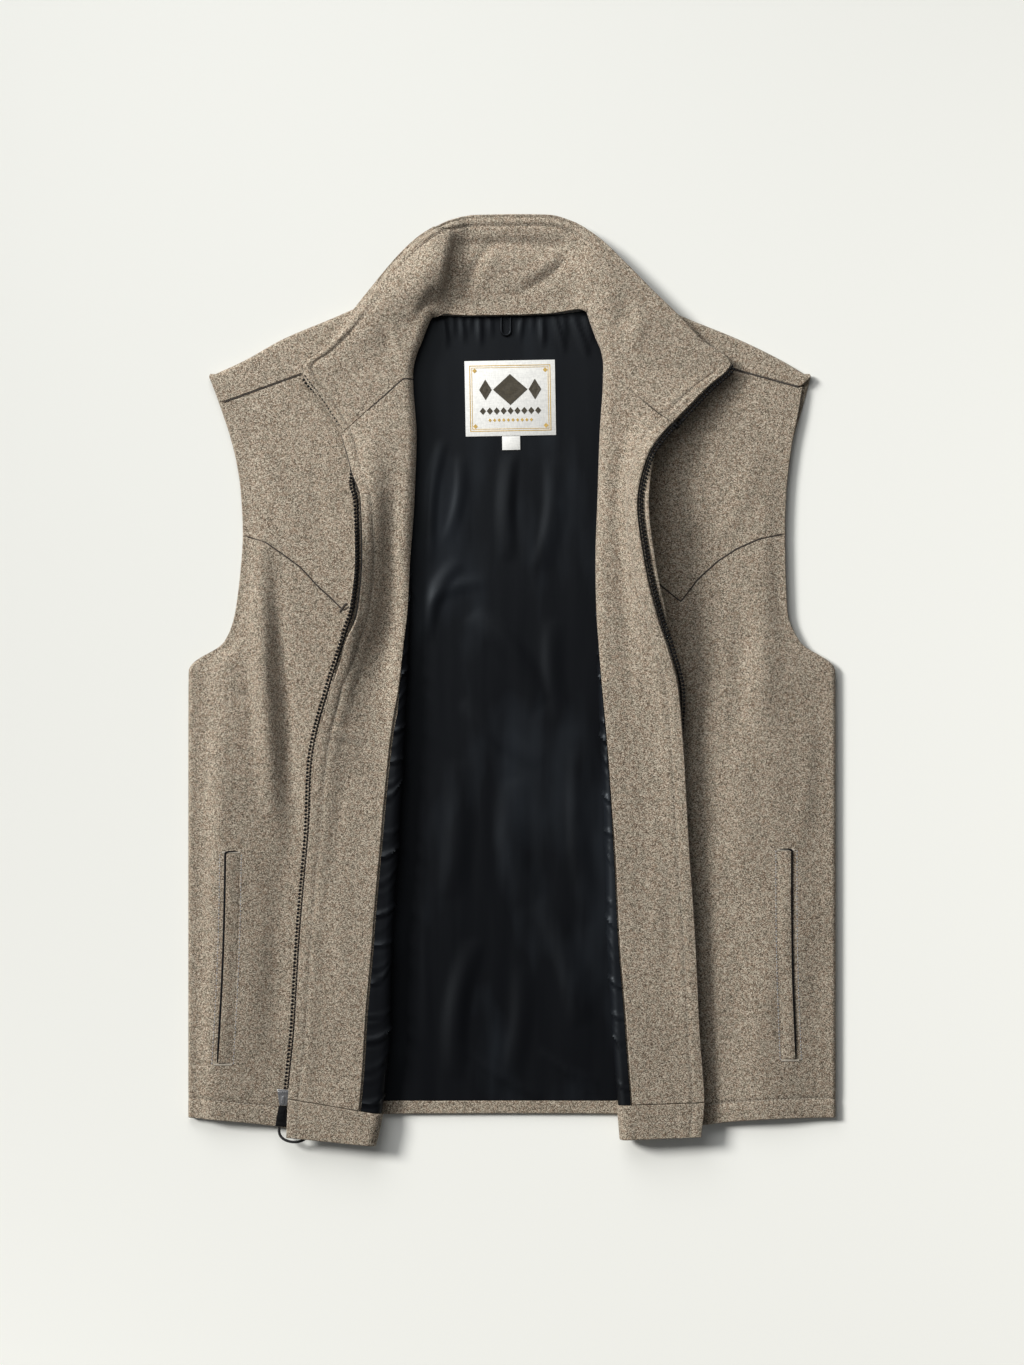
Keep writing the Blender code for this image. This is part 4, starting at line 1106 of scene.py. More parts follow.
def cloth(name, grid, low, high, finish, keep=None):
    """A sheet of cloth on a grid, standing for the solid of its name and riding on the body."""
    thing = piece(name, shell(name, grid, low, high, finish, keep))
    return thing


def wool_row(side, station):
    """Places of a front's wool from its side edge out to its own edge by the zip."""
    end = edge_place(side, station, FORM_SECTIONS[side].at(station).wool)
    reach = 1.0 if station <= COLLAR_STATION else NECK_EDGE_PLACE
    lower = [share * reach for share in LOWER_COLUMNS]
    run = graded(2.0, end, FINE / 70, (0.0, 0.01, 0.025))[1:]
    return SIDE_COLUMNS + lower + [reach] + ROLL_COLUMNS[1:] + resampled(run, 20)


def make_fronts(wool):
    for side in SIDES:
        grid = front_grid(side, FRONT_STATIONS, [wool_row(side, at) for at in FRONT_STATIONS])
        rows = np.array(FRONT_STATIONS)[:, None]
        dip = 0.9 * groove(rows - HEM_STITCH, 1.2)
        cloth(f"front_{side}", grid, dip - HALF_WOOL, HALF_WOOL, wool)
        grid = front_grid(side, YOKE_STATIONS, [wool_row(side, at) for at in YOKE_STATIONS])
        columns = np.arange(grid[0].shape[1] - 1)
        rows = np.arange(grid[0].shape[0] - 1)
        neck_column = len(SIDE_COLUMNS) + len(LOWER_COLUMNS)
        neck_row = YOKE_STATIONS.index(COLLAR_STATION)
        keep = (rows[:, None] < neck_row) | (columns[None] < neck_column)
        cloth(f"yoke_{side}", grid, -HALF_WOOL, HALF_WOOL, wool,
              keep)


def strip_row(side, station, first):
    """Places of a facing from its inner edge to the zip edge, with a stitch line's groove."""
    length = run_length(side, station)
    even = resampled(graded(0.0, (3.0 - first) * length, FINE * 0.85), 26)
    total = even[-1]
    stitch = [total + EDGE_STITCH + shift for shift in (-1.4, -0.7, 0.0, 0.7, 1.4)]
    free = [mark for mark in even if mark < stitch[0] - 1.0 or mark > stitch[-1] + 1.0]
    inner = [mark for mark in resampled(free, 22) if mark < total + EDGE_STITCH]
    inner = resampled(inner, 17)
    inner[-1] = min(inner[-1], stitch[0] - 0.8)
    outer = list(np.linspace(stitch[-1] + 1.0, total - 0.6, 5)) + [total]
    return [first + mark / length for mark in inner + stitch + outer]


def facing_low(past):
    """A facing's lower face over the wool, at a distance past its edge: it rises over the tape."""
    return mix(SKIN_LOW, OVER_TAPE_LOW, ease_array((past + TAPE_WIDTH + TAPE_RISE_IN) / TAPE_RISE))


def stitch_depth(station):
    """Depth of the facing's stitched groove, which is deeper on the chest."""
    return mix(*GROOVE_DEPTHS, ease((station - GROOVE_FROM) / GROOVE_RISE))


def strip_distances(side, stations, places):
    """Low and high distances of a facing: over the tape it rises, and it dips at the stitches."""
    low = np.empty(places.shape)
    dip = np.empty(places.shape)
    for row, station in enumerate(stations):
        past = (places[row] - 3.0) * run_length(side, station)
        low[row] = facing_low(past)
        shape = groove(past - EDGE_STITCH, 1.5) - 0.6 * groove(past - EDGE_STITCH / 2, 3.0)
        dip[row] = stitch_depth(station) * shape
    return low, low + FACING - dip


def make_strip(name, side, stations, inner_edge, wool):
    """A facing or its hem band. inner_edge gives the place of a station's inner edge."""
    places = np.array([strip_row(side, station, inner_edge(station)) for station in stations])
    grid = front_grid(side, stations, places)
    low, high = strip_distances(side, stations, places)
    cloth(f"{name}_{side}", grid, low, high, wool)


def make_facings(wool):
    for side in SIDES:
        stations = STRIP_STATIONS + ([COLLAR_STATION + 1.4] if side == "right" else [])
        make_strip("facing", side, stations, lambda at: FORM_SECTIONS[side].at(at).facing, wool)
        stations = graded(HEM_STATION, HEM_SEAM_STATION, 3.0)
        make_strip("hem_band", side, stations, lambda _: 1.1, wool)


# Puckers of the strip of lining by each front's fold: gap to the next, height, half width, slant
PUCKERS = (
    (17, 1.9, 3.4, 16),
    (9, 0.8, 2.2, 26),
    (24, 1.3, 2.8, 34),
    (13, 2.1, 3.8, 20),
    (7, 0.7, 2, 30),
    (29, 1, 2.6, 12),
    (12, 1.7, 3.2, 38),
    (21, 0.9, 2.4, 24),
    (11, 1.4, 3.6, 8),
    (15, 0.6, 2.2, 30),
)


def pucker_heights(side, stations, places):
    """Uneven slanting puckers across the lining strip, from the facing's seam up to the fold."""
    total = np.zeros(places.shape)
    rows = np.array(stations)[:, None]
    station = HEM_SEAM_STATION + 6.0
    index = 0 if side == "left" else 4
    while station < COLLAR_STATION - 12:
        gap, height, half_width, slant = PUCKERS[index % len(PUCKERS)]
        up = np.clip(2.1 - places, 0, 0.9)
        distance = rows - station - slant * up * (1.4 - 0.6 * up)
        width = half_width * np.where(distance > 0, 1.0, 0.55)
        fade = ease_array((places - 1.15) / 0.3)
        total += fade * height * (bump_profile(np.abs(distance), width)
                                  - 0.3 * bump_profile(np.abs(distance + half_width), width))
        station += gap
        index += 1
    return total


def make_front_linings(satin):
    for side in SIDES:
        stations = graded(HEM_SEAM_STATION + SEAM_GAP, COLLAR_STATION, 2.4)
        places = []
        for station in stations:
            last = FORM_SECTIONS[side].at(station).facing - 0.02
            places.append([0.84, 0.88, 0.92, 0.96] + list(np.linspace(1.0, last, 18)))
        places = np.array(places)
        grid = front_grid(side, stations, places)
        heights = pucker_heights(side, stations, places)
        cloth(f"front_lining_{side}", grid, SKIN_LOW + heights, SKIN_LOW + LINING + heights,
              satin)


def back_columns(first, last, step, middle_step=None):
    """Shares across the back, with the neck's corners among them."""
    marks = [first, NECK_LEFT, NECK_RIGHT, last]
    values = []
    for start, end, gap in zip(marks, marks[1:], (step, middle_step or step, step)):
        count = max(round((end - start) * BACK_HALF_WIDTH / gap), 1)
        values += list(np.linspace(start, end, count + 1)[:-1])
    return values + [last]


def make_back(wool):
    columns = [-SIDE_END_BACK, -1.7, -1.35] + back_columns(-1.0, 1.0, 7.0)
    columns += [1.35, 1.7, SIDE_END_BACK]
    flat_rows = with_marks(graded(HEM_SIDE_Y, SHOULDER_TIP_Y, COARSE), [HEM_SIDE_Y + HEM_STITCH_UP])
    wrap_rows = list(np.linspace(SHOULDER_TIP_Y, WRAP_END, 19)[1:])
    grid = back_grid(flat_rows + wrap_rows, columns)
    neck = (np.array(columns[:-1]) >= NECK_LEFT) & (np.array(columns[:-1]) < NECK_RIGHT)
    rows = np.arange(len(flat_rows) + len(wrap_rows) - 1)
    keep = (rows[:, None] < len(flat_rows) - 1) | ~neck[None]
    cloth("back_panel", grid, 0.0, WOOL, wool, keep)


def lining_heights(points):
    """The satin's folds, which fade where the fronts and the label lie on it."""
    gathers = [(x, NECK_GATHER_TOP, 0.0, x + drift, NECK_GATHER_TOP - run, half, half, height)
               for x, run, drift, half, height in NECK_GATHERS]
    heights = relief(points, LINING_FOLDS) + relief(points, gathers)
    side = np.abs(points[..., 0])
    heights *= 1 - ease_array((side - SATIN_CALM_FROM) / SATIN_CALM_FADE)
    label_x = np.abs(points[..., 0] - LABEL_CENTRE[0]) - LABEL_SIZE[0] / 2
    tab = TAB_SIZE[1] / 2
    label_y = np.abs(points[..., 1] - LABEL_CENTRE[1] + tab) - LABEL_SIZE[1] / 2 - tab
    away = np.maximum(label_x, label_y)
    return heights * ease_array(away / LABEL_CALM_FADE)


def make_back_lining(wool, satin):
    columns = back_columns(-0.94, 0.94, 7.0, 2.2)
    stations = graded(HEM_SIDE_Y + BACK_HEM_WIDTH + SEAM_GAP, LINING_TOP, 3.6)
    top = np.array(columns)
    neck = (top > NECK_LEFT) & (top < NECK_RIGHT)
    rows = []
    for station in stations:
        lift = max(station - LINING_LIFT_FROM, 0) / (LINING_TOP - LINING_LIFT_FROM) * LINING_LIFT
        rows.append([back_point(across, station + (lift if inside else 0.0))
                     for across, inside in zip(columns, neck)])
    points = np.array(rows)
    grid = points, normals_of(points, 1)
    heights = lining_heights(points)
    cloth("back_lining", grid, LINING_LOW + heights * 0.9, LINING_HIGH + heights, satin)
    stations = [HEM_SIDE_Y + SEAM_GAP, HEM_SIDE_Y + 1.5, HEM_SIDE_Y + 5, HEM_SIDE_Y + 9,
                HEM_SIDE_Y + BACK_HEM_WIDTH]
    grid = back_grid(stations, columns)
    cloth("hem_band_back", grid, LINING_LOW, LINING_LOW + 1.8, wool)


def collar_depth(station):
    return (collar_point(2, station) - collar_point(1, station)).xy.length


def collar_place(station, inside):
    """Place on the collar that lies a distance in from its free edge."""
    return 2 - inside / collar_depth(station)


def make_collar(wool):
    stations = [0.0]
    for start, end, count in COLLAR_SPANS:
        stations += list(np.linspace(start, end, count)[1:])
    run = list(np.linspace(1.0, 1.84, 22)[1:]) + list(np.linspace(1.85, 2.0, 16))
    places = list(np.linspace(0, 1, 9)) + run
    grid = collar_grid(stations, places)
    half = COLLAR_CLOTH / 2
    cloth("collar_outer", grid, -half, half, wool)
    low = half + LAYER_GAP
    dips = np.zeros(grid[0].shape[:2])
    rise = np.zeros(grid[0].shape[:2])
    for row, station in enumerate(stations):
        inside = (2 - np.array(places)) * collar_depth(station)
        shown = 1 - 0.75 * ease((station - 13.5) / 1.5)
        depth = 0.8 + 0.5 * ease((9 - station) / 2)
        dips[row] = depth * groove(inside - COLLAR_STITCH, 1.4)
        dips[row] += 0.8 * depth * groove(inside - COLLAR_LIP, 0.9)
        dips[row] -= 0.7 * groove(inside - (COLLAR_STITCH + COLLAR_LIP) / 2, 2.4)
        dips[row] *= shown
        right_end = ease((station - 19.2) / 0.3)
        dips[row] += 0.8 * right_end * groove(inside - COLLAR_STITCH, 1.5)
        rise[row] = 1.1 * ease((station - 19.3) / 0.8) * ease_array((20 - inside) / 5)
    cloth("collar_inner", grid, low + rise, low + rise + COLLAR_CLOTH - dips, wool)


# Zips


def zip_line(side):
    """The tooth line from the hem up the front and on along the collar's end."""
    points = []
    normals = []
    for station in graded(CHAIN_STATION, COLLAR_STATION, FINE):
        form = FORM_SECTIONS[side].at(station)
        hidden = ease((station - ZIP_HIDDEN_FROM) / ZIP_FADE) if side == "left" else 0.0
        lower = ease((ZIP_LOW_BELOW - station) / ZIP_LOW_FADE) if side == "left" else 0.0
        out = mix(form.teeth + (1.0 if side == "left" else 0.0), -2.8, hidden) + 0.9 * lower
        spot, normal = front_spot(side, station, edge_place(side, station, out - 2),
                                  edge_place(side, station, out))
        points.append(spot + normal * (mix(form.zip, 1.6, hidden) + 1.4 * lower))
        normals.append(normal)
    turns = np.linspace(0.3, 1.9 if side == "right" else 1.75, 12)
    if side == "right":
        turns = len(COLLAR) - 1 - turns
    for station in turns:
        out = 0.7 + CHAIN_WIDTH / 2
        if side == "left":
            out = mix(-3.0, -0.4, ease((station - 1.2) / 0.4))
        place = collar_place(station, -out)
        spot, normal = collar_spot(station, place - 0.05, place, 0.02)
        points.append(spot + normal * 2.4)
        normals.append(normal)
    return np.array(points), np.array(normals)


def outward_row(points, normals, side):
    """How far the cord inside the tape's edge lies in from the tooth line."""
    across = np.cross(normals, np.gradient(points, axis=0))
    across /= np.linalg.norm(across, axis=1)[:, None]
    return across * (1.5 if side == "left" else -1.5)


def make_zips(tape, plastic):
    for side in SIDES:
        points, normals = zip_line(side)
        spots, ahead, ups = along_line(points, normals, TOOTH_PITCH, 1.0)
        tooth_side = np.cross(ups, ahead)
        outward = tooth_side * (1 if side == "left" else -1)
        tooth = copies(f"teeth_{side}", block_shape(0.8, 3.4, 1.7, 0.3), spots, ahead, ups, plastic)
        knob = copies(f"knobs_{side}", block_shape(2.3, 2.1, 2.3, 0.5), spots + outward * 1.5,
                      ahead, ups, plastic)
        foot = copies(f"feet_{side}", block_shape(2.1, 1.9, 2.2, 0.5),
                      spots - outward * 1.3 + ahead * (TOOTH_PITCH / 2), ahead, ups, plastic)
        line = points - outward_row(points, normals, side) - normals * 0.7
        if side == "left":
            line = line[points[:, 1] > BEAD_SHOWN_FROM]
        bead = tube(f"bead_{side}", line, 0.5, tape)
        chain = joined(f"zip_chain_{side}", [tooth, knob, foot, bead])
        piece(f"zip_chain_{side}", chain)
        stations = graded(TAPE_STATION, COLLAR_STATION, 6.0)
        rows = []
        for station in stations:
            form = FORM_SECTIONS[side].at(station)
            last = min(form.teeth - CHAIN_WIDTH / 2, 0.0) - SEAM_GAP
            rows.append([edge_place(side, station, out)
                         for out in np.linspace(-TAPE_WIDTH, last, 7)])
        grid = front_grid(side, stations, rows)
        cloth(f"zip_tape_{side}", grid, TAPE_LOW, TAPE_LOW + TAPE, tape)


def tube(name, points, radius, finish, sides=8):
    """A round tube along points."""
    points = np.asarray(points, float)
    ahead = np.gradient(points, axis=0)
    ahead /= np.linalg.norm(ahead, axis=1, keepdims=True)
    side = np.cross(upward(len(points)), ahead)
    side /= np.maximum(np.linalg.norm(side, axis=1, keepdims=True), 1e-9)
    top = np.cross(ahead, side)
    radii = np.broadcast_to(radius, len(points))
    angles = np.linspace(0, 2 * pi, sides + 1)[:-1]
    rings = (points[:, None] + radii[:, None, None]
             * (np.cos(angles)[None, :, None] * side[:, None]
                + np.sin(angles)[None, :, None] * top[:, None]))
    faces = ring_faces(len(points), sides)
    faces.append(tuple(range(sides))[::-1])
    faces.append(tuple(range((len(points) - 1) * sides, len(points) * sides)))
    return add_mesh(name, rings.reshape(-1, 3), faces, finish, 60)


# Pockets

POCKET_COLUMNS = ("side", "top_x", "top_y", "bottom_x", "bottom_y")
POCKETS = (
    ("left", 242.6, -150.5, 249.6, -332),
    ("right", 236.8, -148.5, 240.6, -328.6),
)
WELT_WIDTH = 13.5
POCKET_BOW = 1.4


def locate_on_front(side, x, y):
    """Section place and station of the lower layer's point above (x, y)."""
    place, station = 0.3, y
    for _ in range(8):
        found = front_point(side, place, station)
        wider = front_point(side, place + 0.01, station)
        place += 0.01 * (SIDES[side] * x - found.x) / (wider.x - found.x)
        station += y - found.y
    return place, station


def lower_patch(side, xs_of, ys):
    """Points on the lower layer under given distances out from the centre line, by height."""
    rows = []
    for y in ys:
        rows.append([front_point(side, *locate_on_front(side, x, y)) for x in xs_of(y)])
    points = np.array(rows)
    points[..., 2] += relief(points, LOWER_FOLDS[side])
    return points, normals_of(points, -SIDES[side])


def make_pockets(wool, dark, thread, tack):
    for values in POCKETS:
        pocket = SimpleNamespace(**dict(zip(POCKET_COLUMNS, values)))
        side = pocket.side

        def middle(y):
            share = (y - pocket.bottom_y) / (pocket.top_y - pocket.bottom_y)
            return mix(pocket.bottom_x, pocket.top_x, share) - POCKET_BOW * sin(pi * clamp(share))

        half = WELT_WIDTH / 2
        ys = graded(pocket.bottom_y, pocket.top_y, 3.0)
        shares = np.array([-0.70, -0.66, -0.58, -0.4, -0.1, 0.2, 0.5, 0.7, 0.8, 0.9, 1.0])
        grid = lower_patch(side, lambda y: middle(y) - shares * half, ys)
        points, normals = grid
        normals = normals * np.sign(normals[..., 2:])
        inward = ease_array((shares + 0.6) / 1.6)
        crown = 0.45 * (1 - shares ** 2)
        low = HALF_WOOL - 1.5 * inward + 0.2
        high = HALF_WOOL + mix(1.35, 0.12, inward) + crown
        cloth(f"pocket_welt_{side}", (points, normals), low, high, wool)
        # Painted shadow: a dark tube along the welt's outer side and over its top, where the pocket's
        # mouth lies in shade.
        outer = 0.70 * half + 0.9
        slit_ys = list(np.linspace(pocket.bottom_y + 0.5, pocket.top_y + 0.5, 60))
        slit = lower_patch(side, lambda y: [middle(y) + outer, middle(y) + outer + 1.5], slit_ys)
        top = [(middle(pocket.top_y) + outer - step, pocket.top_y + 1.1 + 0.25 * min(step, 3))
               for step in np.linspace(0.6, WELT_WIDTH * 0.8, 10)]
        corner = np.array([front_point(side, *locate_on_front(side, x, y)) for x, y in top])
        corner[:, 2] += relief(corner, LOWER_FOLDS[side])
        line = np.vstack((slit[0][:, 0], corner)) + (0, 0, HALF_WOOL + 0.3)
        radii = np.concatenate((np.full(60, 1.0), np.linspace(0.9, 0.3, 10)))
        radii[:4] = np.linspace(0.4, 0.85, 4)
        extra(tube(f"pocket_mouth_shadow_{side}", line, radii, dark))
        rows = []
        for offset in (half + 3.6, -half - 1.4):
            line = lower_patch(side, lambda y: [middle(y) + offset, middle(y) + offset + 1], ys)
            rows.append((line[0][:, 0] + (0, 0, HALF_WOOL + 0.12), upward(len(ys))))
        parts = []
        for index, (points, normals) in enumerate(rows):
            parts.append(copies(f"row_{side}_{index}", stitch_shape(2.0, 0.3),
                                *along_line(points, normals, 3.0), thread))
        extra(joined(f"pocket_stitches_{side}", parts))
        bars = []
        for y in (pocket.bottom_y - 1.2, pocket.top_y + 1.2):
            xs = np.linspace(middle(y) - half, middle(y) + half + 2, 12)
            line = lower_patch(side, lambda _: xs, [y - 0.5, y + 0.5])
            points = line[0].mean(0) + (0, 0, HALF_WOOL + 0.3)
            spots, ahead, ups = along_line(points, upward(len(xs)), 0.75)
            bars.append(copies(f"bar_{side}_{round(y)}", stitch_shape(1.9, 0.36), spots,
                               np.cross(ups, ahead), ups, tack))
        extra(joined(f"pocket_tacks_{side}", bars))


# Seam stitches, and the painted shadow in seams and creases


def lower_line(side, points_at, count):
    """A line on the lower layer through (place, station) pairs, on its outer face."""
    pairs = [points_at(share) for share in np.linspace(0, 1, count)]
    points = np.array([front_point(side, place, station) for place, station in pairs])
    lower = np.array([ease_array(6 * place) * ease_array(6 - 6 * place) for place, _ in pairs])
    points[:, 2] += lower * relief(points, LOWER_FOLDS[side]) + HALF_WOOL + 0.05
    return points, upward(len(points))


def sew(name, line, size, pitch, thread):
    """A row of stitches along a line's points and normals. size is a stitch's length and radius."""
    extra(copies(name, stitch_shape(*size), *along_line(*line, pitch), thread))


def make_stitches(pale, brown):
    for side in SIDES:
        hem = lower_line(side, lambda share: (mix(0.01, 0.97, share), HEM_STITCH), 60)
        arm = lower_line(side, lambda share: (0.05, mix(20.0, 268.0, share)), 80)
        hem[0][:, 2] -= 0.65
        sew(f"hem_stitches_{side}", hem, (2.3, 0.36), 3.4, pale)
        sew(f"armhole_stitches_{side}", arm, (2.2, 0.24), 3.4, brown)
        edge = []
        normals = []
        for station in np.linspace(HEM_STATION + 4, COLLAR_STATION - 2, 190):
            spot, normal = front_spot(side, station, edge_place(side, station, EDGE_STITCH - 2),
                                      edge_place(side, station, EDGE_STITCH))
            edge.append(spot + normal * (OVER_TAPE_LOW + FACING + 0.12 - stitch_depth(station)))
            normals.append(normal)
        sew(f"facing_stitches_{side}", (np.array(edge), np.array(normals)), (1.9, 0.27), 3.3, pale)
        band = []
        station = HEM_STATION + (16.0 if side == "left" else 13.0)
        for share in np.linspace(0.05, 0.97, 40):
            place = mix(2.0, edge_place(side, station, -1.0), share)
            spot, normal = front_spot(side, station, place - 0.02, place)
            low = facing_low((place - 3.0) * run_length(side, station))
            band.append(spot + normal * (low + FACING + 0.05))
        sew(f"band_stitches_{side}", (np.array(band), upward(len(band))), (2.3, 0.3), 3.3, pale)
    line = []
    for station in np.linspace(1.8, 13.8, 420):
        place = collar_place(station, COLLAR_STITCH)
        spot, normal = collar_spot(station, place - 0.04, place, 0.03)
        line.append(spot + normal * (COLLAR_CLOTH / 2 + LAYER_GAP + COLLAR_CLOTH - 0.6))
    sew("collar_stitches", (np.array(line), upward(len(line))), (2.2, 0.26), 3.3, brown)


def make_seams(shadow):
    """Dark tubes painted as shadow in the seams, along the left facing's edge and in a crease."""
    for side in SIDES:
        yoke = lower_line(side, lambda share: (mix(0.0, 0.96, share), YOKE_STATION), 90)
        shoulder = lower_line(side, lambda share: (mix(0.0, 0.96, share), SHOULDER_STATION + 0.3),
                              60)
        # Painted shadow: dark tubes laid in the bottom of the yoke and shoulder seams.
        parts = [tube("yoke_seam_shadow", yoke[0] - (0, 0, 0.15), SEAM_RADIUS[side], shadow, 6),
                 tube("shoulder_seam_shadow", shoulder[0] - (0, 0, 0.1), SHOULDER_SEAM_RADIUS, shadow, 6)]
        extra(joined(f"seam_shadow_lines_{side}", parts))
    # Painted shadow in the left collar seam.
    line = []
    for place in np.linspace(1.6, 2.75, 30):
        spot, normal = front_spot("left", COLLAR_STATION, place - 0.02, place, 0.4)
        low = facing_low((place - 3.0) * run_length("left", COLLAR_STATION))
        line.append(spot + normal * (low + FACING - 0.35))
    radii = 0.5 * (1 - ease_array((np.linspace(0, 1, 30) - 0.55) / 0.45) * 0.85)
    extra(tube("collar_seam_shadow_left", line, radii, shadow, 6))
    # Painted contact shadow along the left facing's outer edge over the yoke.
    line = []
    for station in np.linspace(*EDGE_LINE, 40):
        spot, normal = front_spot("left", station, edge_place("left", station, -1.6),
                                  edge_place("left", station, 0.4))
        line.append(spot + normal * (HALF_WOOL + 1.6))
    radii = 0.62 * np.sin(np.linspace(0.15, 0.95, 40) * pi) ** 0.5
    extra(tube("edge_contact_shadow_left", line, radii, shadow, 6))
    # Painted shadow of a short crease mark by the left yoke seam.
    tick = np.array([front_point("left", *locate_on_front("left", -x, y)) for x, y in TICK])
    tick[:, 2] += HALF_WOOL + relief(tick, LOWER_FOLDS["left"])
    extra(tube("crease_tick_shadow", smooth_line(tick, 4), 1.0, shadow, 6))


# Labels and small parts


def on_label(centre, z):
    return Matrix.Translation((*centre, z)) @ Matrix.Rotation(radians(LABEL_TURN), 4, "Z")


def plate(name, centre, size, z, thickness, finish, hollow=0.0, bevel=0.15):
    """A flat block with rounded edges, or a frame of four bars when hollow is a bar's width."""
    build = bmesh.new()
    bars = [((0, 0), size)]
    if hollow:
        wide, tall = size
        x, y = (wide - hollow) / 2, (tall - hollow) / 2
        across, upright = (wide, hollow), (hollow, tall - 2 * hollow)
        bars = [((0, y), across), ((0, -y), across), ((x, 0), upright), ((-x, 0), upright)]
    for spot, extent in bars:
        made = bmesh.ops.create_cube(build, size=1.0)["verts"]
        bmesh.ops.scale(build, vec=(*extent, thickness), verts=made)
        bmesh.ops.translate(build, vec=(*spot, 0), verts=made)
    bmesh.ops.bevel(build, geom=build.edges[:], offset=bevel, segments=2, profile=0.5,
                    affect="EDGES")
    bmesh.ops.transform(build, matrix=on_label(centre, z), verts=build.verts)
    return add_mesh(name, *taken_from(build), finish, 35)


def lozenge(name, offset, size, z, height, finish):
    """A raised woven lozenge on the label: a low four-sided form with a stepped middle."""
    vertices = []
    for share, level in ((1.0, 0.0), (1.0, 1.0), (0.72, 1.0), (0.66, 0.5), (0.44, 0.5),
                         (0.38, 1.0), (0.0, 1.0)):
        for x, y in ((1, 0), (0, 1), (-1, 0), (0, -1)):
            vertices.append((share * x * size[0] / 2, share * y * size[1] / 2, level * height))
    placed = on_label(turned(offset), z)
    vertices = [tuple(placed @ Vector(vertex)) for vertex in vertices]
    return add_mesh(name, vertices, [(3, 2, 1, 0)] + ring_faces(7, 4), finish, 30)


def turned(offset):
    angle = radians(LABEL_TURN)
    x, y = offset
    return (LABEL_CENTRE[0] + x * cos(angle) - y * sin(angle),
            LABEL_CENTRE[1] + x * sin(angle) + y * cos(angle))


def lay_label(name, thing):
    piece(name, thing)


def make_labels(ground, gold, olive, plain):
    low = LINING_HIGH + SEAM_GAP
    middle = low + LABEL_THICKNESS / 2
    top = low + LABEL_THICKNESS
    wide, tall = LABEL_SIZE
    lay_label("neck_label", plate("label_ground", LABEL_CENTRE, LABEL_SIZE, middle, LABEL_THICKNESS,
                                  ground))
    frames = [plate(name, LABEL_CENTRE, (wide - inset, tall - inset), top, 0.28, gold, bar, 0.1)
              for name, inset, bar in (("frame_outer", 8.0, 0.75), ("frame_inner", 11.6, 0.55))]
    corner = (wide / 2 - 8.6, tall / 2 - 8.6)
    frames += [lozenge(f"corner_{x}_{y}", (x * corner[0], y * corner[1]), (4.2, 4.2), top, 0.2, gold)
               for x in (-1, 1) for y in (-1, 1)]
    frames += [lozenge(f"dot_{index}", (x, -19.0), (2.8, 3.2), top, 0.22, gold)
               for index, x in enumerate(np.linspace(-18, 18, 10))]
    motif = [lozenge("motif_middle", (0, 7.5), (30.0, 27.0), top, 0.26, olive)]
    motif += [lozenge(f"motif_{x}", (x, 7.5), (11.0, 18.0), top, 0.24, olive) for x in (-21.5, 21.5)]
    motif += [lozenge(f"band_{index}", (x, -11.0), (5.4, 6.4), top, 0.22, olive)
              for index, x in enumerate(np.linspace(-24, 24, 9))]
    extra(joined("label_frame", frames))
    extra(joined("label_motif", motif))
    tab_y = LABEL_CENTRE[1] - LABEL_SIZE[1] / 2 - SEAM_GAP - TAB_SIZE[1] / 2
    lay_label("size_tab", plate("tab", (LABEL_CENTRE[0] + TAB_OFFSET, tab_y), TAB_SIZE, middle,
                                LABEL_THICKNESS, plain))


# Blocks of the slider and of the box: place from the centre, size, bevel, turn and taper
SLIDER_CENTRE = (-197.8, -361.5, 13.8)
SLIDER_BLOCKS = (
    ((0.0, 0.0, 1.38), (9.2, 13.8, 1.564), 0.6, -3, 0.55),
    ((0.0, 0.0, -1.38), (9.0, 13.8, 1.564), 0.6, -3, 0.5),
    ((0.0, 1.5, 0.0), (2.432, 6.9, 2.3), 0.5, -3, 0.0),
    ((-0.3, 4.554, 2.392), (9.4, 2.6, 1.38), 0.5, 4, 0.0),
    ((-0.5, -2.0, 2.3), (2.584, 6.9, 1.564), 0.5, -6, 0.0),
)
BOX_CENTRE = (-199.0, -377.9, 13.2)
BOX_BLOCKS = (
    ((-0.2, 0.0, 0.0), (8.8, 18.0, 3.6), 1.0, -3, -0.5),
    ((-1.2, -1.6, 0.2), (7.224, 4.2, 3.6), 0.9, 10, 0.0),
    ((0.2, 4.0, 1.512), (4.2, 5.4, 1.08), 0.45, -8, 0.0),
    ((-0.9, -6.48, 1.44), (8.4, 2.4, 1.224), 0.5, -9, 0.0),
    ((-0.2, 0.6, 1.8), (3.36, 2.2, 1.0), 0.4, 14, 0.0),
)
PULL_DIAMETER = 2.4
PULL_POINTS = (
    (-201.6, -387.4, 12.6), (-201.8, -391, 12), (-201, -394.6, 10.9), (-198.6, -397.6, 10.4),
    (-194.8, -399.6, 10.2), (-190.2, -400.6, 10.2), (-185.4, -400.4, 10.2), (-181, -398.9, 10.2),
    (-177.4, -396.2, 10.2),
)
PIN_CENTRE = (162.0, -378.0, 14.6)
PIN_SIZE = (3.0, 20.0, 2.2)


def smooth_line(points, per_span=6):
    """A line through points without corners."""
    points = np.asarray(points, float)
    padded = np.vstack((2 * points[0] - points[1], points, 2 * points[-1] - points[-2]))
    found = []
    for a, b, c, d in zip(padded, padded[1:], padded[2:], padded[3:]):
        for t in np.linspace(0, 1, per_span, endpoint=False):
            found.append(0.5 * (2 * b + (c - a) * t + (2 * a - 5 * b + 4 * c - d) * t * t
                                + (3 * b - a - 3 * c + d) * t ** 3))
    found.append(points[-1])
    return np.array(found)


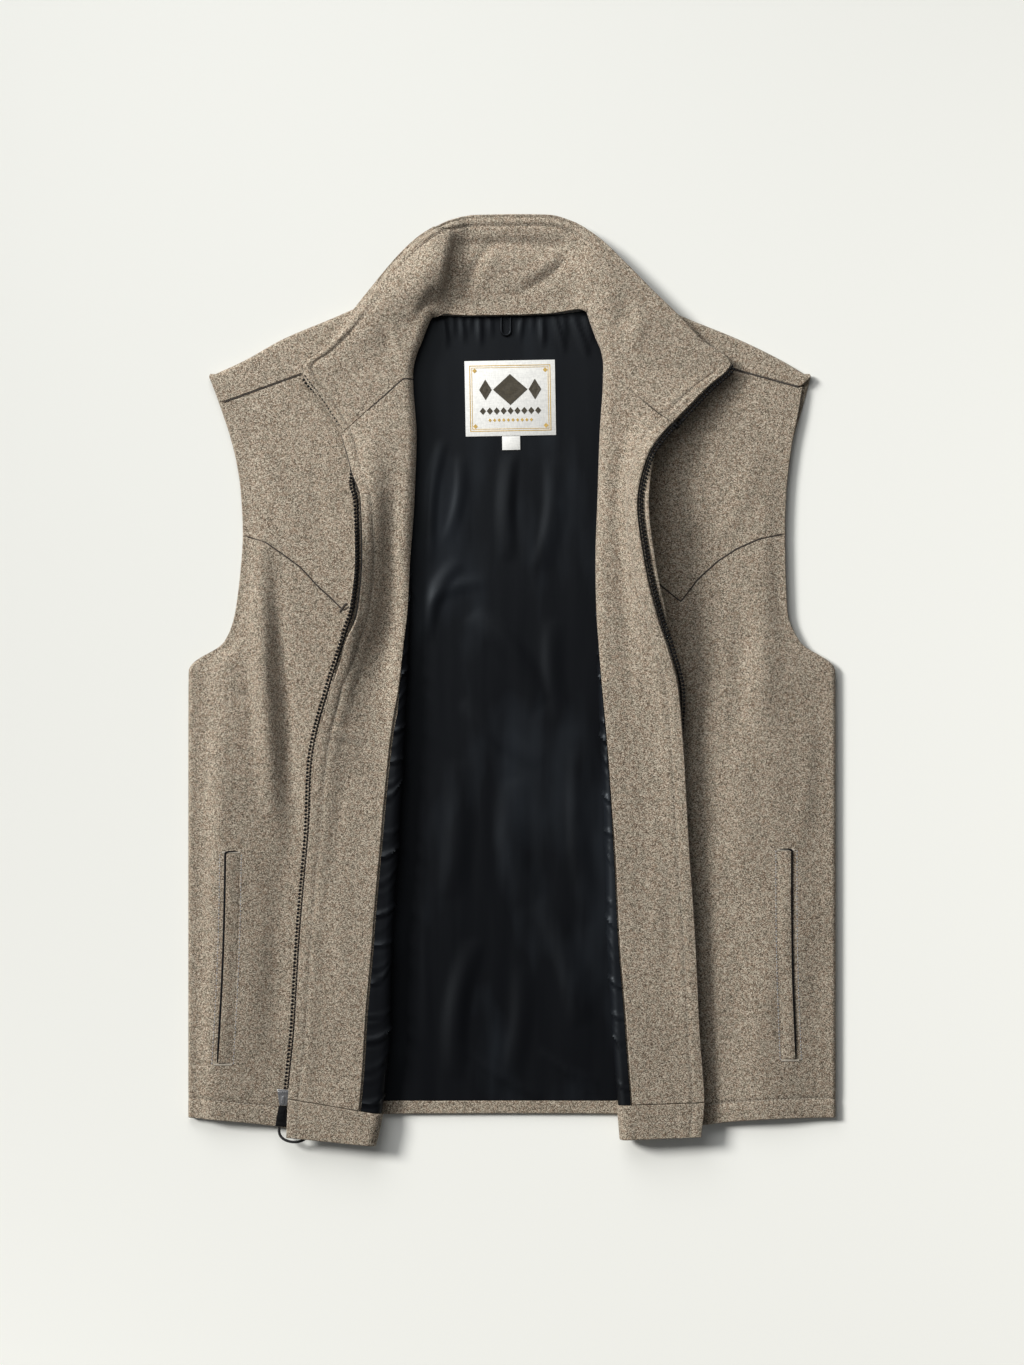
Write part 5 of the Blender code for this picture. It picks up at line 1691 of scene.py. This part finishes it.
def make_hanger_loop(satin):
    z = LINING_HIGH + SEAM_GAP + LOOP_DIAMETER / 2
    arc_y = LOOP_BOTTOM_Y + LOOP_HALF_WIDTH
    points = [(LOOP_X - LOOP_HALF_WIDTH, y, z) for y in np.linspace(LOOP_TOP_Y, arc_y + 1, 5)]
    for angle in np.linspace(pi, 2 * pi, 13):
        points.append((LOOP_X + LOOP_HALF_WIDTH * cos(angle),
                       arc_y + LOOP_HALF_WIDTH * sin(angle), z))
    points += [(LOOP_X + LOOP_HALF_WIDTH, y, z) for y in np.linspace(arc_y + 1, LOOP_TOP_Y, 5)]
    loop = tube("loop", smooth_line(points, 3), LOOP_DIAMETER / 2, satin, 12)
    piece("hanger_loop", loop)


def rounded_box(name, centre, size, finish, bevel, turn=0.0, taper=0.0):
    build = bmesh.new()
    bmesh.ops.create_cube(build, size=1.0)
    bmesh.ops.scale(build, vec=size, verts=build.verts)
    bmesh.ops.bevel(build, geom=build.edges[:], offset=bevel, segments=3, profile=0.6,
                    affect="EDGES")
    for vertex in build.verts:
        vertex.co.x *= 1 + taper * vertex.co.y / size[1]
    placed = Matrix.Translation(centre) @ Matrix.Rotation(radians(turn), 4, "Z")
    bmesh.ops.transform(build, matrix=placed, verts=build.verts)
    return add_mesh(name, *taken_from(build), finish, 35)


def blocks(name, centre, rows, finish):
    """One object from a table of rounded blocks round a centre."""
    return joined(name, [rounded_box(f"{name}_{index}", Vector(centre) + Vector(place), size,
                                     finish, bevel, turn, taper)
                         for index, (place, size, bevel, turn, taper) in enumerate(rows)])


def make_zip_ends(metal, plastic, cord_finish):
    piece("zip_slider", blocks("slider", SLIDER_CENTRE, SLIDER_BLOCKS, metal))
    piece("zip_box", blocks("box", BOX_CENTRE, BOX_BLOCKS, plastic))
    piece("zip_pin", rounded_box("pin", PIN_CENTRE, PIN_SIZE, metal, 0.7))
    line = smooth_line(PULL_POINTS, 6)
    pull = tube("pull", line, PULL_DIAMETER / 2, cord_finish, 12)
    piece("zip_pull", pull)


# Stage

FRAME_HEIGHT = 1187.6
CAMERA_HEIGHT = 3.0
FRAME_CENTRE_Y = -2.2
WORLD_STRENGTH = 0.12
KEY_POWER = 3.55
KEY_ANGLE = 16.0
KEY_FROM = (-1.5, 0.75, 1.15)
FILL_POWER = 12.0
FILL_FROM = (-0.42, 0.9, 0.85)


def place_light(name, kind, start, target, **settings):
    lamp = bpy.data.lights.new(name, kind)
    for key, value in settings.items():
        setattr(lamp, key, value)
    light = bpy.data.objects.new(name, lamp)
    light.location = start
    aim = Vector(target) - Vector(start)
    light.rotation_euler = aim.to_track_quat("-Z", "Y").to_euler()
    bpy.context.scene.collection.objects.link(light)


# The light on the table relative to its centre: the factors of x, y, x squared, y squared and
# x times y in metres. The table's colour is painted as its inverse, lighter where the lamps give
# less.
FLOOR_LIGHT = (-0.223, 0.388, -0.15, 0.145, -0.37)
FLOOR_SHADE = 0.768
FLOOR_TINT = (1.0, 1.008, 0.962)


def make_stage():
    graph = Graph("floor", (0.80, 0.805, 0.775), 0.9)
    parts = graph.add("ShaderNodeSeparateXYZ", {"Vector": graph.place()})
    x, y = parts.outputs["X"], parts.outputs["Y"]
    terms = zip(FLOOR_LIGHT, (x, y, graph.maths("MULTIPLY", x, x), graph.maths("MULTIPLY", y, y),
                              graph.maths("MULTIPLY", x, y)))
    light = 1.0
    for factor, term in terms:
        light = graph.maths("ADD", light, graph.maths("MULTIPLY", term, factor))
    # Painted light and shade: the floor's colour is the inverse of the light given in FLOOR_LIGHT.
    shade = graph.maths("DIVIDE", FLOOR_SHADE, light)
    graph.join(graph.mixed(1.0, graph.grey(shade), FLOOR_TINT, "MULTIPLY"), "Base Color")
    graph.set("Specular IOR Level", 0.1)
    bpy.ops.mesh.primitive_plane_add(size=12.0, location=(0, 0, -0.0005))
    floor = bpy.context.object
    floor.name = "floor"
    floor.data.materials.append(graph.material)
    world = bpy.data.worlds.new("studio")
    world.use_nodes = True
    background = world.node_tree.nodes["Background"]
    background.inputs["Color"].default_value = (0.97, 0.985, 1.0, 1)
    background.inputs["Strength"].default_value = WORLD_STRENGTH
    bpy.context.scene.world = world
    place_light("key", "SUN", KEY_FROM, (0.0, 0.0, 0.0), energy=KEY_POWER,
                angle=radians(KEY_ANGLE), color=(1.0, 0.985, 0.96))
    place_light("top_fill", "AREA", FILL_FROM, (0.0, 0.1, 0.0), energy=FILL_POWER, size=1.1)
    data = bpy.data.cameras.new("camera")
    data.sensor_fit = "VERTICAL"
    data.sensor_height = 24.0
    data.lens = 24.0 * CAMERA_HEIGHT / (FRAME_HEIGHT * MM)
    camera = bpy.data.objects.new("camera", data)
    camera.location = (0.0, FRAME_CENTRE_Y * MM, CAMERA_HEIGHT)
    bpy.context.scene.collection.objects.link(camera)
    bpy.context.scene.camera = camera
    bpy.context.scene.view_settings.view_transform = "Standard"


def main():
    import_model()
    make_stage()
    wool = make_wool("wool_heather")
    satin = make_satin("satin_black")
    tape = make_tape("zip_tape_black")
    plastic = make_plastic("plastic_black", (0.003, 0.003, 0.0035), 0.55)
    metal = make_metal("metal_silver")
    pale = make_thread("thread_pale", (0.50, 0.45, 0.37))
    blue = make_thread("thread_blue_white", (0.42, 0.43, 0.46))
    brown = make_thread("thread_brown", (0.13, 0.105, 0.08))
    # Near-black brown for the painted shadow tubes in seams and creases.
    shadow = make_thread("painted_seam_shadow", (0.035, 0.026, 0.019))
    tack = make_thread("thread_tack", (0.55, 0.50, 0.42))
    # Near-black for the painted shadow in the pocket mouths.
    dark = make_plastic("painted_slit_shadow", (0.006, 0.006, 0.007), 0.8)
    cord_finish = make_thread("cord_black", (0.012, 0.012, 0.013))
    ground = make_weave("label_ground", (0.73, 0.73, 0.70), (0.62, 0.62, 0.60))
    gold = make_weave("label_gold", (0.56, 0.37, 0.09), (0.44, 0.29, 0.07), 0.5)
    olive = make_weave("label_olive", (0.050, 0.040, 0.022), (0.030, 0.024, 0.014))
    plain = make_weave("tab_weave", (0.74, 0.74, 0.71), (0.65, 0.65, 0.63))
    make_back(wool)
    make_back_lining(wool, satin)
    make_fronts(wool)
    make_front_linings(satin)
    make_facings(wool)
    make_collar(wool)
    make_zips(tape, plastic)
    make_pockets(wool, dark, blue, tack)
    make_stitches(pale, brown)
    make_seams(shadow)
    make_labels(ground, gold, olive, plain)
    make_hanger_loop(satin)
    make_zip_ends(metal, plastic, cord_finish)


main()
